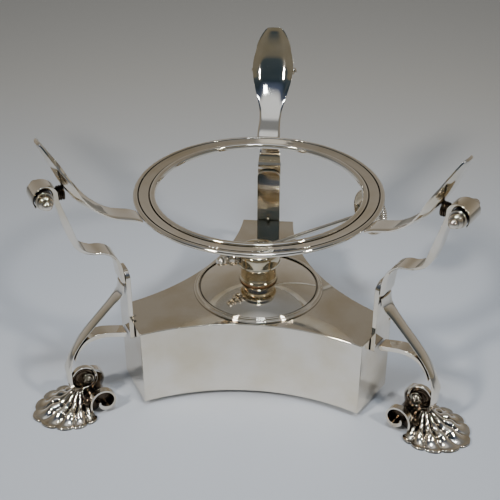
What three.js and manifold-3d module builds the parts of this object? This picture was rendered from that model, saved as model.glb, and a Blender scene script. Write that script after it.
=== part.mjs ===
// Spirit burner stand: three scroll legs on shell feet carry a kettle ring above a
// three-cornered spirit reservoir with a lift-out wick burner.
// Units are millimetres and +Z is up. The origin is the middle of the reservoir's underside.
import * as THREE from 'three';
import { mergeVertices, toCreasedNormals } from 'three/addons/utils/BufferGeometryUtils.js';
import Module from 'manifold-3d';

const wasm = await Module();
wasm.setup();

// Sizes shared by several pieces. Heights are measured from the table.
const fitGap = 0.3;
const cutOverrun = 1;
const reservoirLift = 2.9;
const quarterTurn = 90;
const fullTurn = 360;
const legSides = ['rear', 'left', 'right'];
const legSpacing = fullTurn / legSides.length;

// Reservoir: a box with three hollow sides and three cut-off corners.
const cornerFaceRadius = 69.4;
const sideHollowRadius = 34;
const sideArcRadius = 112.5;
const reservoirHeight = 41.2;
const reservoirWall = 1.2;
const reservoirPlate = 1.4;
const sideArcSteps = 9;

// Lamp dish: a moulded rim round a shallow polished dome.
const dishRadius = 33.1;
const dishRimWidth = 3.4;
const dishRimHeight = 1.8;
const dishWall = 0.9;
const domeRise = 4.4;
const domeSteps = 4;
const dishSegments = 36;
const dishRimShares = [
  [0, 0], [0, 0.4], [0.15, 0.55], [0.4, 0.55], [0.5, 0.95], [0.72, 1], [0.86, 0.7],
];
const domeEdgeShare = 0.67;

// Burner: stem, sealing washer, collar and bowl, lifted out of the neck as one.
const wickWidth = 8;
const wickThickness = 1.5;
const wickTubeWall = 0.5;
const stemBore = 12.6;
const stemWall = 1.2;
const neckWall = 1.3;
const neckLength = 8.8;
const stemBelowNeck = 4;
const washerThickness = 0.7;
const washerRim = 1.5;
const collarHeight = 9.2;
const collarRadius = 9.6;
const collarShares = [
  [0.9, 0], [1, 0.03], [1, 0.1], [0.94, 0.16], [0.93, 0.86], [0.97, 0.92], [0.97, 1],
];
const bowlRadius = 11.1;
const bowlHeight = 8.2;
const bowlWall = 0.8;
const bowlMouthShare = 0.6;
const bowlOuterShares = [
  [0.95, 0], [1, 0.05], [1, 0.63], [0.985, 0.77], [0.93, 0.89], [0.8, 0.975],
];
const bowlInnerShares = [
  [0.79, 0.87], [0.88, 0.8], [0.915, 0.71], [0.927, 0.6],
];
const burnerSegments = 24;
const slotSegments = 6;

// Wick, its tube and the winder that grips it.
const wickTubeRise = 1;
const wickTubeSink = 3.4;
const wickRise = 0.8;
const wickFoot = 7.6;
const spindleRadius = 1.2;
const spindleAzimuth = 37.5;
const spindleRise = 4.835;
const pinionRadius = 3;
const pinionRootShare = 0.72;
const toothRootShare = 0.25;
const pinionTeeth = 8;
const pinionWidth = 3.2;
const glandLength = 5.2;
const glandRadius = 4.2;
const glandShares = [
  [0.86, 0], [1, 0.08], [1, 0.32], [0.86, 0.4], [0.98, 0.5], [0.98, 0.7], [0.7, 1],
];
const knobLength = 5.2;
const knobRadius = 2.6;
const knobShares = [
  [0.8, 0], [1, 0.12], [1, 0.42], [0.74, 0.54], [0.94, 0.66], [0.8, 0.92], [0.4, 1],
];
const winderSegments = 16;
const wheelReach = 73.4;
const wheelThickness = 2.8;
const wheelRadius = 13;
const wheelNotches = 32;
const wheelNotchDepth = 0.7;
const notchCrestShare = 0.2;
const wheelHubRadius = 3.2;
const wheelHubLength = 2.2;

// Kettle ring.
const ringInnerRadius = 50.4;
const ringWidth = 10.6;
const ringOuterRadius = ringInnerRadius + ringWidth;
const ringTop = 101;
const ringDepth = 2.4;
const ringSegments = 44;
const ringShares = [
  [0, 0], [0, 0.8], [0.07, 1], [0.21, 1], [0.26, 0.6], [0.31, 0.74], [0.5, 0.78], [0.74, 0.92],
  [0.765, 0.74], [0.79, 0.94], [0.86, 1], [0.96, 0.93], [1, 0.64], [0.97, 0.3], [0.85, 0],
];

// Scroll at the top of each leg, which the arm and the leg both spring from.
const scrollOutset = 45;
const scrollReach = ringOuterRadius + scrollOutset;
const scrollHeight = 122.3;
const rollRadius = 4.7;
const rollHalfLength = 14.2;
const rollSegments = 12;
const rollShares = [
  [0, 1], [0.34, 0.98], [0.42, 0.9], [0.66, 0.86], [0.66, 0.79], [0.86, 0.74], [0.84, 0.65],
  [0.96, 0.45], [1, 0.15],
];
const neckThickness = 2.5;
const lugRadius = 3.2;
const lugLength = 2.4;
const lugSeatAllowance = 0.3;
const lugDrop = 1.4;
const lugSegments = 10;
const lugShares = [
  [0.8, 0], [1, 0.16], [0.84, 0.34], [1, 0.5], [0.84, 0.66], [0.96, 0.82], [0.76, 1],
];

// Arm: a strap from the ring to the scroll, with a leaf-shaped tip above it.
const armThickness = 1.3;
const armDrop = 0.4;
const leafWidth = 22.3;
const leafReach = 10.9;
const leafRise = 22.8;
const armSlantShare = 1.65;
const armSpanSteps = 1;
const leafBow = 3.6;
const bowMiddleShare = 0.3;
const bowStartShare = 0.52;
const leafTipShare = 0.65;
const spoonShares = [-1, -0.62, -0.22, 0.22, 0.62, 1];
const armBaseShares = [
  [0, 0, 0.534], [0.115, 0.08, 0.538], [0.36, 0.19, 0.52], [0.488, 0.277, 0.534],
  [0.588, 0.372, 0.574], [0.712, 0.504, 0.682], [0.827, 0.661, 0.816], [0.933, 0.839, 0.928],
];
const armLeafShares = [
  [0, 0, 0.98], [0.165, 0.145, 1], [0.34, 0.31, 0.96], [0.5, 0.474, 0.88], [0.637, 0.623, 0.767],
  [0.756, 0.75, 0.637], [0.857, 0.855, 0.507], [0.93, 0.93, 0.39], [1, 1, 0.2],
];
const flatCrownShare = 0.6;
const flatSectionShares = [
  [-1, 1, 0], [-0.86, 0, 0], [0.86, 0, 0], [1, 1, 0], [1, 0, 1], [-1, 0, 1],
];
const domedSectionShares = [
  [-1, 1, 0], [0, 0, 0], [1, 1, 0], [1, 0, 1], [-1, 0, 1],
];

// Leg plate soldered to each cut-off corner, and its lock pin above the reservoir.
const plateThickness = 2.3;
const plateWidth = 13;
const plateTop = 75.4;
const plateBottom = 35.5;
const plateShoulder = 1.5;
const plateCrown = 2.4;
const pinRadius = 0.6;
const pinLength = 2.9;
const pinRise = 1.9;
const pinSegments = 8;

// Upper leg: from the scroll, down and in over a flat shoulder, on to the plate.
const upperThickness = 1.4;
const upperWidth = 12.8;
const upperLap = 5.6;
const wrapStart = -35;
const wrapEnd = 165;
const wrapSteps = 6;
const wrapWidthShare = 1.16;
const wrapThickness = 1.1;
const upperSpanSteps = 2;
const upperShares = [
  [0.99, 0.95, 0.55, 1.6], [0.945, 0.85, 0.54, 1.65], [0.875, 0.665, 0.55, 2.3],
  [0.775, 0.495, 0.6, 2.1], [0.69, 0.42, 0.68, 1.6], [0.59, 0.38, 0.76, 1.3],
  [0.43, 0.345, 0.78, 1], [0.285, 0.33, 0.8, 1], [0.16, 0.295, 0.85, 1],
  [0.075, 0.235, 0.92, 1.1], [0.03, 0.14, 1, 1.2], [0, 0, 1, 1],
];

// Reaches of the leg's foot, set out from the reservoir's corner face.
const footHubOutset = 28.6;
const voluteInset = 2.9;
const ankleOutset = 8.7;
const footScrollInset = 7.8;
const footSaddleInset = 2.4;
const footHubReach = cornerFaceRadius + footHubOutset;
const voluteReach = footHubReach - voluteInset;
const ankleReach = voluteReach + ankleOutset;
const footScrollReach = footHubReach - footScrollInset;
const footSaddleReach = footHubReach - footSaddleInset;

// Lower leg: a tapering strap from the plate to the ankle, ending in a volute.
const ankleHeight = 25;
const lowerStart = 67.4;
const lowerThickness = 2.2;
const lowerWidth = 9.4;
const lowerSpanSteps = 2;
const lowerCrownShare = 0.62;
const lowerDomedRows = 8;
const voluteCrownShare = 0.12;
const lowerShares = [
  [0, 1, 1, 0.55], [0.04, 0.88, 0.92, 0.55], [0.18, 0.77, 0.76, 0.5], [0.375, 0.63, 0.7, 0.45],
  [0.575, 0.49, 0.7, 0.45], [0.74, 0.365, 0.68, 0.45], [0.87, 0.235, 0.66, 0.52],
  [0.965, 0.105, 0.68, 0.8], [1, 0, 0.72, 1], [0.975, -0.106, 0.77, 1],
  [0.91, -0.2, 0.81, 1],
];
const voluteHeight = 17.1;
const voluteRadius = 6;
const voluteFirstAngle = -52;
const voluteStepAngle = 42;
const voluteShares = [
  [0.94, 1], [1, 1.1], [1, 1.16], [0.98, 1.2], [0.94, 1.1], [0.87, 0.85], [0.72, 0.66],
  [0.61, 0.62], [0.53, 0.62], [0.46, 0.6], [0.39, 0.6],
];
const heartHalfWidth = 5.8;
const heartSegments = 16;
const heartShares = [[0, 1], [0.3, 0.96], [0.55, 0.85], [0.75, 0.66], [0.85, 0.46]];

// Brace under the lower leg.
const braceThickness = 3;
const braceWidth = 7;
const braceFootHeight = 36.9;
const braceRise = 5.3;
const braceSpanSteps = 2;
const braceShares = [
  [0.854, -1.302, 0.17], [0.803, -0.698, 0.33], [0.727, -0.113, 0.53], [0.632, 0.283, 0.8],
  [0.514, 0.453, 0.97], [0.387, 0.472, 1], [0.254, 0.321, 0.97], [0.117, 0.094, 0.97],
  [0.041, -0.057, 1],
];

// Shell foot: nine ribs fanned from a hub below the volute, and a cross scroll behind.
const footHubHeight = 12.6;
const footGrooveShare = 0.35;
const ribCount = 9;
const ribSpacing = 24;
const ribFrontLength = 25;
const ribSideLength = 16.5;
const ribDepth = 1.7;
const ribScallop = 1.6;
const ribRidgeShares = [0, 0.78, 1, 0.78];
const ribHeightShares = [
  [0, 1], [0.18, 0.92], [0.34, 0.62], [0.48, 0.45], [0.61, 0.43], [0.74, 0.26], [0.9, 0.12],
  [1, 0.1],
];
const ribDepthShares = [0, 0.4, 0.9, 1, 1, 0.9, 0.6, 0.4];
const footScrollHeight = 9.6;
const footScrollRadius = 6.1;
const footScrollHalfLength = 14.4;
const footScrollSegments = 12;
const footScrollShares = [
  [0, 1], [0.42, 0.97], [0.5, 0.885], [0.82, 0.885], [0.9, 0.94], [1, 0.93], [0.95, 0.82],
  [0.78, 0.55], [0.73, 0.2],
];

const footSaddleHeight = 5.7;
const footSaddleRadius = 5.4;
const footSaddleHalfLength = 13.2;
const footSaddleShares = [[0, 1], [0.55, 0.98], [0.72, 0.85], [0.94, 0.3]];

// Heights and radii that follow from the sizes above.
const reservoirTop = reservoirLift + reservoirHeight;
const stemRadius = stemBore / 2 + stemWall;
const neckBore = stemRadius + fitGap;
const neckRadius = neckBore + neckWall;
const dishHole = neckRadius + fitGap;
const domeRadius = dishRadius - dishRimWidth;
const domeFoot = reservoirTop + dishRimHeight * domeEdgeShare;
const neckTop = domeHeightAt(dishHole);
const collarFoot = neckTop + washerThickness;
const bowlFoot = collarFoot + collarHeight;
const bowlTop = bowlFoot + bowlHeight;
const spindleHeight = bowlFoot + spindleRise;
const tubeHalfThickness = wickThickness / 2 + fitGap + wickTubeWall;
const tubeHalfWidth = wickWidth / 2 + fitGap + wickTubeWall;
const tubeTop = bowlTop + wickTubeRise;
const spindleOffset = wickThickness / 2 + fitGap + pinionRadius;
const spindleBore = spindleRadius + fitGap;
const glandStart = bowlRadius;
const knobStart = glandStart + glandLength + fitGap;
const plateInner = cornerFaceRadius + fitGap;
const plateOuter = plateInner + plateThickness;
const strapSeat = plateOuter + fitGap;
const neckOuter = scrollReach - rollRadius - fitGap;
const lugEnd = neckOuter - neckThickness - fitGap - lugSeatAllowance;
const lugStart = lugEnd - lugLength;

// Materials, one for each finish.
function finish(color, roughness, metalness) {
  return new THREE.MeshStandardMaterial({ color, roughness, metalness });
}
const silver = finish(0xc9c6bd, 0.12, 1);
const darkenedSilver = finish(0x8f8a7f, 0.3, 1);
const gilt = finish(0xb9a06a, 0.22, 1);
const brass = finish(0xa98a4e, 0.35, 1);
const cork = finish(0x8a6a45, 0.9, 0);
const cotton = finish(0xd8cfba, 1, 0);

// Gives a closed surface its outward winding and its creased normals.
function closed(geometry) {
  geometry.deleteAttribute('normal');
  geometry.deleteAttribute('uv');
  const merged = mergeVertices(geometry);
  const place = merged.getAttribute('position');
  const index = merged.getIndex().array;
  const [a, b, c] = [new THREE.Vector3(), new THREE.Vector3(), new THREE.Vector3()];
  let volume = 0;
  for (let i = 0; i < index.length; i += 3) {
    a.fromBufferAttribute(place, index[i]);
    b.fromBufferAttribute(place, index[i + 1]);
    c.fromBufferAttribute(place, index[i + 2]);
    volume += a.dot(b.cross(c));
  }
  if (volume < 0) {
    for (let i = 0; i < index.length; i += 3) {
      [index[i], index[i + 1]] = [index[i + 1], index[i]];
    }
  }
  return merged;
}

// Builds a closed surface from points and triangles.
function surface(points, triangles) {
  const geometry = new THREE.BufferGeometry();
  geometry.setAttribute('position', new THREE.Float32BufferAttribute(points.flat(), 3));
  geometry.setIndex(triangles.flat());
  return closed(geometry);
}

function toSolid(geometry) {
  const merged = closed(geometry);
  return new wasm.Manifold(new wasm.Mesh({
    numProp: 3,
    vertProperties: merged.getAttribute('position').array,
    triVerts: Uint32Array.from(merged.getIndex().array),
  }));
}

function fromSolid(solid) {
  const mesh = solid.getMesh();
  const geometry = new THREE.BufferGeometry();
  geometry.setAttribute('position', new THREE.BufferAttribute(mesh.vertProperties, mesh.numProp));
  geometry.setIndex(new THREE.BufferAttribute(mesh.triVerts, 1));
  return geometry;
}

function cut(geometry, ...tools) {
  return fromSolid(tools.reduce((solid, tool) => solid.subtract(toSolid(tool)), toSolid(geometry)));
}

function join(geometry, ...others) {
  return fromSolid(others.reduce((solid, other) => solid.add(toSolid(other)), toSolid(geometry)));
}

// Turns a profile of [radius, height] rows about Z. The profile closes on itself or on the axis.
function turned(profile, segments) {
  const points = profile.map(([radius, height]) => new THREE.Vector2(radius, height));
  const [first, last] = [points[0], points[points.length - 1]];
  if (first.x > 0 || last.x > 0) {
    points.push(first.clone());
  }
  return closed(new THREE.LatheGeometry(points, segments).rotateX(THREE.MathUtils.degToRad(quarterTurn)));
}

// Rows of a share table drawn at real sizes.
function scaledRows(shares, [width, height], [left, bottom] = [0, 0]) {
  return shares.map(([x, y]) => [left + x * width, bottom + y * height]);
}

// A round rod along Z.
function rod(radius, bottom, top, segments) {
  return turned([[0, bottom], [radius, bottom], [radius, top], [0, top]], segments);
}

// A plain ring about Z.
function band(inner, outer, bottom, top, segments) {
  return turned([[inner, bottom], [outer, bottom], [outer, top], [inner, top]], segments);
}

function extruded(shape, bottom, depth, curveSegments = 1) {
  const geometry = new THREE.ExtrudeGeometry(shape, { depth, bevelEnabled: false, curveSegments });
  return closed(geometry.translate(0, 0, bottom));
}

function outline(rows) {
  return new THREE.Shape(rows.map(([x, y]) => new THREE.Vector2(x, y)));
}

function polar(radius, degrees, centre = [0, 0]) {
  const angle = THREE.MathUtils.degToRad(degrees);
  return [centre[0] + radius * Math.cos(angle), centre[1] + radius * Math.sin(angle)];
}

// Catmull-Rom curve through rows of numbers, with a few steps to each span.
function smoothRows(rows, spanSteps) {
  const curve = [];
  for (let i = 0; i + 1 < rows.length; i += 1) {
    const before = rows[Math.max(i - 1, 0)];
    const after = rows[Math.min(i + 2, rows.length - 1)];
    for (let step = 0; step < spanSteps; step += 1) {
      const t = step / spanSteps;
      curve.push(rows[i].map((here, k) => {
        const next = rows[i + 1][k];
        const slope = (next - before[k]) / 2;
        const nextSlope = (after[k] - here) / 2;
        const bend = 3 * (next - here) - 2 * slope - nextSlope;
        const twist = 2 * (here - next) + slope + nextSlope;
        return here + t * (slope + t * (bend + t * twist));
      }));
    }
  }
  curve.push(rows[rows.length - 1]);
  return curve;
}

// Sweeps a strap along stations of [reach, height, width, thickness, crown] in the XZ plane.
// The stations run along one face, and the strap's body lies to the right of the travel.
// The crown is the share of the thickness by which that face falls away at its edges.
function strap(stations, sectionShares) {
  const points = [];
  const triangles = [];
  const sides = sectionShares.length;
  stations.forEach(([x, z, width, thickness, crown], i) => {
    const [x0, z0] = stations[Math.max(i - 1, 0)];
    const [x1, z1] = stations[Math.min(i + 1, stations.length - 1)];
    const length = Math.hypot(x1 - x0, z1 - z0);
    const [nx, nz] = [(z1 - z0) / length, (x0 - x1) / length];
    sectionShares.forEach(([across, crownPart, basePart]) => {
      const depth = crownPart * crown + basePart;
      points.push([x + nx * depth * thickness, across * width / 2, z + nz * depth * thickness]);
    });
    if (i > 0) {
      for (let k = 0; k < sides; k += 1) {
        const [a, b] = [i * sides + k, i * sides + (k + 1) % sides];
        triangles.push([a - sides, a, b], [a - sides, b, b - sides]);
      }
    }
  });
  const lastRing = points.length - sides;
  for (let k = 1; k + 1 < sides; k += 1) {
    triangles.push([0, k, k + 1], [lastRing, lastRing + k + 1, lastRing + k]);
  }
  return surface(points, triangles);
}

// Reservoir outline, drawn in from the outer face by an inset.
function reservoirOutline(inset) {
  const azimuths = legSides.map((side, i) => quarterTurn + i * legSpacing);
  const halfSide = legSpacing / 2;
  const arcCentreRadius = sideHollowRadius + sideArcRadius;
  const arcRadius = sideArcRadius + inset;
  const faceRadius = cornerFaceRadius - inset;
  const [centreReach, centreAcross] = polar(arcCentreRadius, halfSide);
  const faceHalfWidth = centreAcross - Math.sqrt(arcRadius ** 2 - (faceRadius - centreReach) ** 2);
  const cornerAngle = THREE.MathUtils.radToDeg(Math.atan2(faceHalfWidth, faceRadius));
  const cornerRadius = Math.hypot(faceHalfWidth, faceRadius);
  const shape = new THREE.Shape();
  azimuths.forEach((azimuth, i) => {
    const near = polar(cornerRadius, azimuth - cornerAngle);
    const far = polar(cornerRadius, azimuth + cornerAngle);
    const next = polar(cornerRadius, azimuths[(i + 1) % azimuths.length] - cornerAngle);
    const [x, y] = polar(arcCentreRadius, azimuth + halfSide);
    if (i === 0) {
      shape.moveTo(...near);
    }
    shape.lineTo(...far);
    const startAngle = Math.atan2(far[1] - y, far[0] - x);
    const endAngle = Math.atan2(next[1] - y, next[0] - x);
    shape.absarc(x, y, arcRadius, startAngle, endAngle, true);
  });
  return shape;
}

function reservoirWallPiece() {
  const shape = reservoirOutline(0);
  shape.holes.push(reservoirOutline(reservoirWall));
  const depth = reservoirHeight - 2 * reservoirPlate;
  return extruded(shape, reservoirLift + reservoirPlate, depth, sideArcSteps);
}

function reservoirBasePiece() {
  return extruded(reservoirOutline(0), reservoirLift, reservoirPlate, sideArcSteps);
}

function reservoirTopPiece() {
  const shape = reservoirOutline(0);
  const hole = new THREE.Path();
  hole.absarc(0, 0, dishHole, 0, THREE.MathUtils.degToRad(fullTurn), true);
  shape.holes.push(hole);
  return extruded(shape, reservoirTop - reservoirPlate, reservoirPlate, sideArcSteps);
}

function domeHeightAt(radius) {
  return domeFoot + domeRise * (1 - (radius / domeRadius) ** 2);
}

function dishPiece() {
  const rim = dishRimShares.map(([inward, up]) => [
    dishRadius - inward * dishRimWidth,
    reservoirTop + up * dishRimHeight,
  ]);
  const dome = [];
  const underside = [];
  const insideRadius = domeRadius - dishWall;
  for (let i = 0; i <= domeSteps; i += 1) {
    const radius = domeRadius + (dishHole - domeRadius) * i / domeSteps;
    const innerRadius = insideRadius + (dishHole - insideRadius) * i / domeSteps;
    dome.push([radius, domeHeightAt(radius)]);
    underside.unshift([innerRadius, domeHeightAt(innerRadius) - dishWall]);
  }
  return turned([...rim, ...dome, ...underside, [insideRadius, reservoirTop]], dishSegments);
}

function neckPiece() {
  return band(neckBore, neckRadius, neckTop - neckLength, neckTop, burnerSegments);
}

function washerPiece() {
  return band(neckBore, neckBore + washerRim, neckTop, collarFoot, burnerSegments);
}

function stemPiece() {
  const bottom = neckTop - neckLength - stemBelowNeck;
  return band(stemBore / 2, stemRadius, bottom, bowlFoot, burnerSegments);
}

function collarPiece() {
  const outer = scaledRows(collarShares, [collarRadius, collarHeight], [0, collarFoot]);
  return turned([[neckBore, collarFoot], ...outer, [neckBore, bowlFoot]], burnerSegments);
}

// A slot with round ends, long across the spindle's direction.
function slotOutline(halfThickness, halfWidth) {
  const shape = new THREE.Shape();
  const straight = halfWidth - halfThickness;
  const [quarter, half] = [Math.PI / 2, Math.PI];
  shape.moveTo(straight, -halfThickness);
  shape.absarc(straight, 0, halfThickness, -quarter, quarter, false);
  shape.absarc(-straight, 0, halfThickness, quarter, quarter + half, false);
  return shape;
}

// A round rod along X through the spindle's axis, in the burner's turned frame.
function spindleTool(radius, start, end) {
  const tool = rod(radius, start, end, winderSegments);
  return tool.rotateY(THREE.MathUtils.degToRad(quarterTurn)).translate(0, spindleOffset, spindleHeight);
}

function bowlPiece() {
  const outer = scaledRows(bowlOuterShares, [bowlRadius, bowlHeight], [0, bowlFoot]);
  const inner = scaledRows(bowlInnerShares, [bowlRadius, bowlHeight], [0, bowlFoot]);
  const mouth = bowlRadius * bowlMouthShare;
  const floor = bowlFoot + bowlWall;
  const profile = [
    [0, bowlFoot], ...outer, [mouth, bowlTop], [mouth, bowlTop - bowlWall], ...inner,
    [bowlRadius - bowlWall, floor], [0, floor],
  ];
  const slot = slotOutline(tubeHalfThickness + fitGap, tubeHalfWidth + fitGap);
  const slotTool = extruded(slot, bowlFoot - cutOverrun, bowlWall + 2 * cutOverrun, slotSegments);
  const bore = spindleTool(spindleBore, -bowlRadius - cutOverrun, bowlRadius + cutOverrun);
  return cut(turned(profile, burnerSegments), slotTool, bore);
}

function wickTubePiece() {
  const shape = slotOutline(tubeHalfThickness, tubeHalfWidth);
  shape.holes.push(slotOutline(tubeHalfThickness - wickTubeWall, tubeHalfWidth - wickTubeWall));
  const bottom = bowlFoot - wickTubeSink;
  const tube = extruded(shape, bottom, tubeTop - bottom, slotSegments);
  const windowHeight = 2 * (pinionRadius + fitGap);
  const window = new THREE.BoxGeometry(pinionWidth + 2 * fitGap, 2 * tubeHalfThickness, windowHeight);
  return cut(tube, window.translate(0, tubeHalfThickness + wickThickness / 2, spindleHeight));
}

function wickPiece() {
  const bottom = reservoirLift + wickFoot;
  const wick = new THREE.BoxGeometry(wickWidth, wickThickness, tubeTop + wickRise - bottom);
  return wick.translate(0, 0, (bottom + tubeTop + wickRise) / 2);
}

// Turned winder pieces are drawn along Z and laid along the spindle.
function alongSpindle(geometry) {
  return geometry.rotateY(THREE.MathUtils.degToRad(quarterTurn)).translate(0, spindleOffset, spindleHeight);
}

function spindlePiece() {
  return spindleTool(spindleRadius, -knobStart - knobLength / 2, wheelReach + wheelThickness);
}

function glandPiece() {
  const rows = glandShares.map(([radius, out]) => [radius * glandRadius, -glandStart - out * glandLength]);
  const bore = [[spindleBore, -glandStart - glandLength], [spindleBore, -glandStart]];
  return alongSpindle(turned([...rows, ...bore], winderSegments));
}

function knobPiece() {
  const rows = knobShares.map(([radius, out]) => [radius * knobRadius, -knobStart - out * knobLength]);
  const socketEnd = -knobStart - knobLength / 2 - fitGap;
  const blindEnd = [[0, -knobStart - knobLength], [0, socketEnd]];
  const socket = [...blindEnd, [spindleBore, socketEnd], [spindleBore, -knobStart]];
  const knob = [...socket, ...rows];
  return alongSpindle(turned([...knob.slice(1), knob[0]], winderSegments));
}

function pinionPiece() {
  const toothAngle = fullTurn / pinionTeeth;
  const shape = new THREE.Shape();
  for (let tooth = 0; tooth < pinionTeeth; tooth += 1) {
    const angle = tooth * toothAngle;
    const rootRadius = pinionRadius * pinionRootShare;
    const before = polar(rootRadius, angle - toothAngle * toothRootShare);
    const after = polar(rootRadius, angle + toothAngle * toothRootShare);
    const rows = [before, polar(pinionRadius, angle), after];
    rows.forEach((row, i) => (tooth + i === 0 ? shape.moveTo(...row) : shape.lineTo(...row)));
  }
  const hole = new THREE.Path();
  hole.absarc(0, 0, spindleBore, 0, THREE.MathUtils.degToRad(fullTurn), true);
  shape.holes.push(hole);
  return alongSpindle(extruded(shape, -pinionWidth / 2, pinionWidth, pinionTeeth));
}

function wheelPiece() {
  const shape = new THREE.Shape();
  const notchAngle = fullTurn / wheelNotches;
  for (let notch = 0; notch < wheelNotches; notch += 1) {
    const angle = notch * notchAngle;
    const crestStart = polar(wheelRadius, angle - notchAngle * notchCrestShare);
    const crestEnd = polar(wheelRadius, angle + notchAngle * notchCrestShare);
    const root = polar(wheelRadius - wheelNotchDepth, angle + notchAngle / 2);
    const rows = [crestStart, crestEnd, root];
    rows.forEach((row, i) => (notch + i === 0 ? shape.moveTo(...row) : shape.lineTo(...row)));
  }
  const disc = extruded(shape, wheelReach, wheelThickness);
  const hub = rod(wheelHubRadius, wheelReach - wheelHubLength, wheelReach + wheelThickness, winderSegments);
  const bore = rod(
    spindleBore,
    wheelReach - wheelHubLength - cutOverrun,
    wheelReach + wheelThickness + cutOverrun,
    winderSegments,
  );
  return alongSpindle(cut(join(disc, hub), bore));
}

function ringPiece() {
  const ringRows = scaledRows(ringShares, [ringWidth, ringDepth], [ringInnerRadius, ringTop - ringDepth]);
  return turned(ringRows, ringSegments);
}

// Arm: the stations follow the middle of its hollow face, and the leaf is bowed like a spoon.
function armPiece() {
  const bowed = (share) => leafBow * Math.max(0, share - bowStartShare) / (1 - bowStartShare);
  const section = spoonShares.map((across) => [across, bowMiddleShare - across ** 2]);
  const face = section.map(([across, bow]) => [across, bow, 0]);
  const back = section.map(([across, bow]) => [across, bow, 1]).reverse();
  const start = [ringOuterRadius + fitGap, ringTop - armDrop];
  const knee = [lugStart - fitGap - armThickness * armSlantShare, scrollHeight - lugDrop + lugRadius];
  const base = armBaseShares.map(([out, up, width]) => [
    start[0] + out * (knee[0] - start[0]),
    start[1] + up * (knee[1] - start[1]),
    width * leafWidth,
    armThickness,
    bowed(width) / armThickness,
  ]);
  const leaf = armLeafShares.map(([out, up, width]) => [
    knee[0] + out * leafReach,
    knee[1] + up * leafRise,
    width * leafWidth,
    armThickness,
    bowed(Math.max(width, leafTipShare)) / armThickness,
  ]);
  return strap(smoothRows([...base, ...leaf], armSpanSteps), [...face, ...back]);
}

// Scroll roll: a turned barrel with stepped, beaded ends, lying across the leg.
function mirroredProfile(shares, radius, halfLength) {
  const half = scaledRows(shares, [radius, halfLength]);
  const other = half.filter(([, along]) => along > 0).reverse();
  return [...half, ...other.map(([r, along]) => [r, -along])];
}

function layAcross(geometry, reach, height) {
  return geometry.rotateX(THREE.MathUtils.degToRad(quarterTurn)).translate(reach, 0, height);
}

function rollPiece() {
  const profile = mirroredProfile(rollShares, rollRadius, rollHalfLength);
  return layAcross(turned(profile, rollSegments), scrollReach, scrollHeight);
}

function lugPiece() {
  const rows = scaledRows(lugShares, [lugRadius, lugLength], [0, lugStart]);
  const profile = [[0, lugStart], ...rows, [0, lugEnd]];
  const knuckle = turned(profile, lugSegments).rotateY(THREE.MathUtils.degToRad(quarterTurn));
  return knuckle.translate(0, 0, scrollHeight - lugDrop);
}

// Upper leg: the stations follow the face towards the roll, which is the leg's outer face below.
function upperLegPiece() {
  const wrap = [];
  for (let i = 0; i <= wrapSteps; i += 1) {
    const along = i / wrapSteps;
    const angle = wrapStart + along * (wrapEnd - wrapStart);
    const place = polar(rollRadius + fitGap, angle, [scrollReach, scrollHeight]);
    const width = upperWidth * (wrapWidthShare + along * (upperShares[0][2] - wrapWidthShare));
    const thickness = wrapThickness + along ** 2 * (neckThickness - wrapThickness);
    wrap.push([...place, width, thickness, flatCrownShare]);
  }
  const foot = [strapSeat + upperThickness, plateTop - upperLap];
  const rows = upperShares.map(([out, up, width, thickness]) => [
    foot[0] + out * (neckOuter - foot[0]),
    foot[1] + up * (scrollHeight - foot[1]),
    width * upperWidth,
    thickness * upperThickness,
    flatCrownShare,
  ]);
  return strap([...wrap, ...smoothRows(rows, upperSpanSteps)], flatSectionShares);
}

// Leg plate: pointed below and crowned above, standing square to the reach.
function platePiece() {
  const half = plateWidth / 2;
  const rows = [
    [0, plateBottom], [half, plateBottom + plateShoulder], [half, plateTop - plateCrown],
    [half / 2, plateTop], [-half / 2, plateTop], [-half, plateTop - plateCrown],
    [-half, plateBottom + plateShoulder],
  ];
  const plate = extruded(outline(rows), plateInner, plateThickness);
  const upright = new THREE.Matrix4().makeBasis(
    new THREE.Vector3(0, 1, 0),
    new THREE.Vector3(0, 0, 1),
    new THREE.Vector3(1, 0, 0),
  );
  return plate.applyMatrix4(upright);
}

function lockPinPiece() {
  const pin = rod(pinRadius, plateInner - fitGap - pinLength, plateInner - fitGap, pinSegments);
  return pin.rotateY(THREE.MathUtils.degToRad(quarterTurn)).translate(0, 0, reservoirTop + pinRise);
}

// Lower leg: the stations follow its outer face down to the ankle and round the volute, which a
// domed heart fills.
function lowerLegPiece() {
  const start = strapSeat + lowerShares[0][3] * lowerThickness;
  const rows = lowerShares.map(([out, up, width, thickness], i) => [
    start + out * (ankleReach - start),
    ankleHeight + up * (lowerStart - ankleHeight),
    width * lowerWidth,
    thickness * lowerThickness,
    i < lowerDomedRows ? lowerCrownShare : voluteCrownShare,
  ]);
  const voluteWidth = rows[rows.length - 1][2];
  voluteShares.forEach(([radius, thickness], i) => {
    const angle = voluteFirstAngle - i * voluteStepAngle;
    const place = polar(radius * voluteRadius, angle, [voluteReach, voluteHeight]);
    rows.push([...place, voluteWidth, thickness * lowerThickness, voluteCrownShare]);
  });
  const heart = turned(mirroredProfile(heartShares, voluteRadius, heartHalfWidth), heartSegments);
  const scroll = strap(smoothRows(rows, lowerSpanSteps), domedSectionShares);
  return join(scroll, layAcross(heart, voluteReach, voluteHeight));
}

// Brace: the stations follow its lower face from the leg back to the plate.
function bracePiece() {
  const rows = braceShares.map(([out, up, thickness]) => [
    strapSeat + out * (ankleReach - strapSeat),
    braceFootHeight + up * braceRise,
    braceWidth,
    thickness * braceThickness,
    flatCrownShare,
  ]);
  return strap(smoothRows(rows, braceSpanSteps), flatSectionShares);
}

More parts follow.
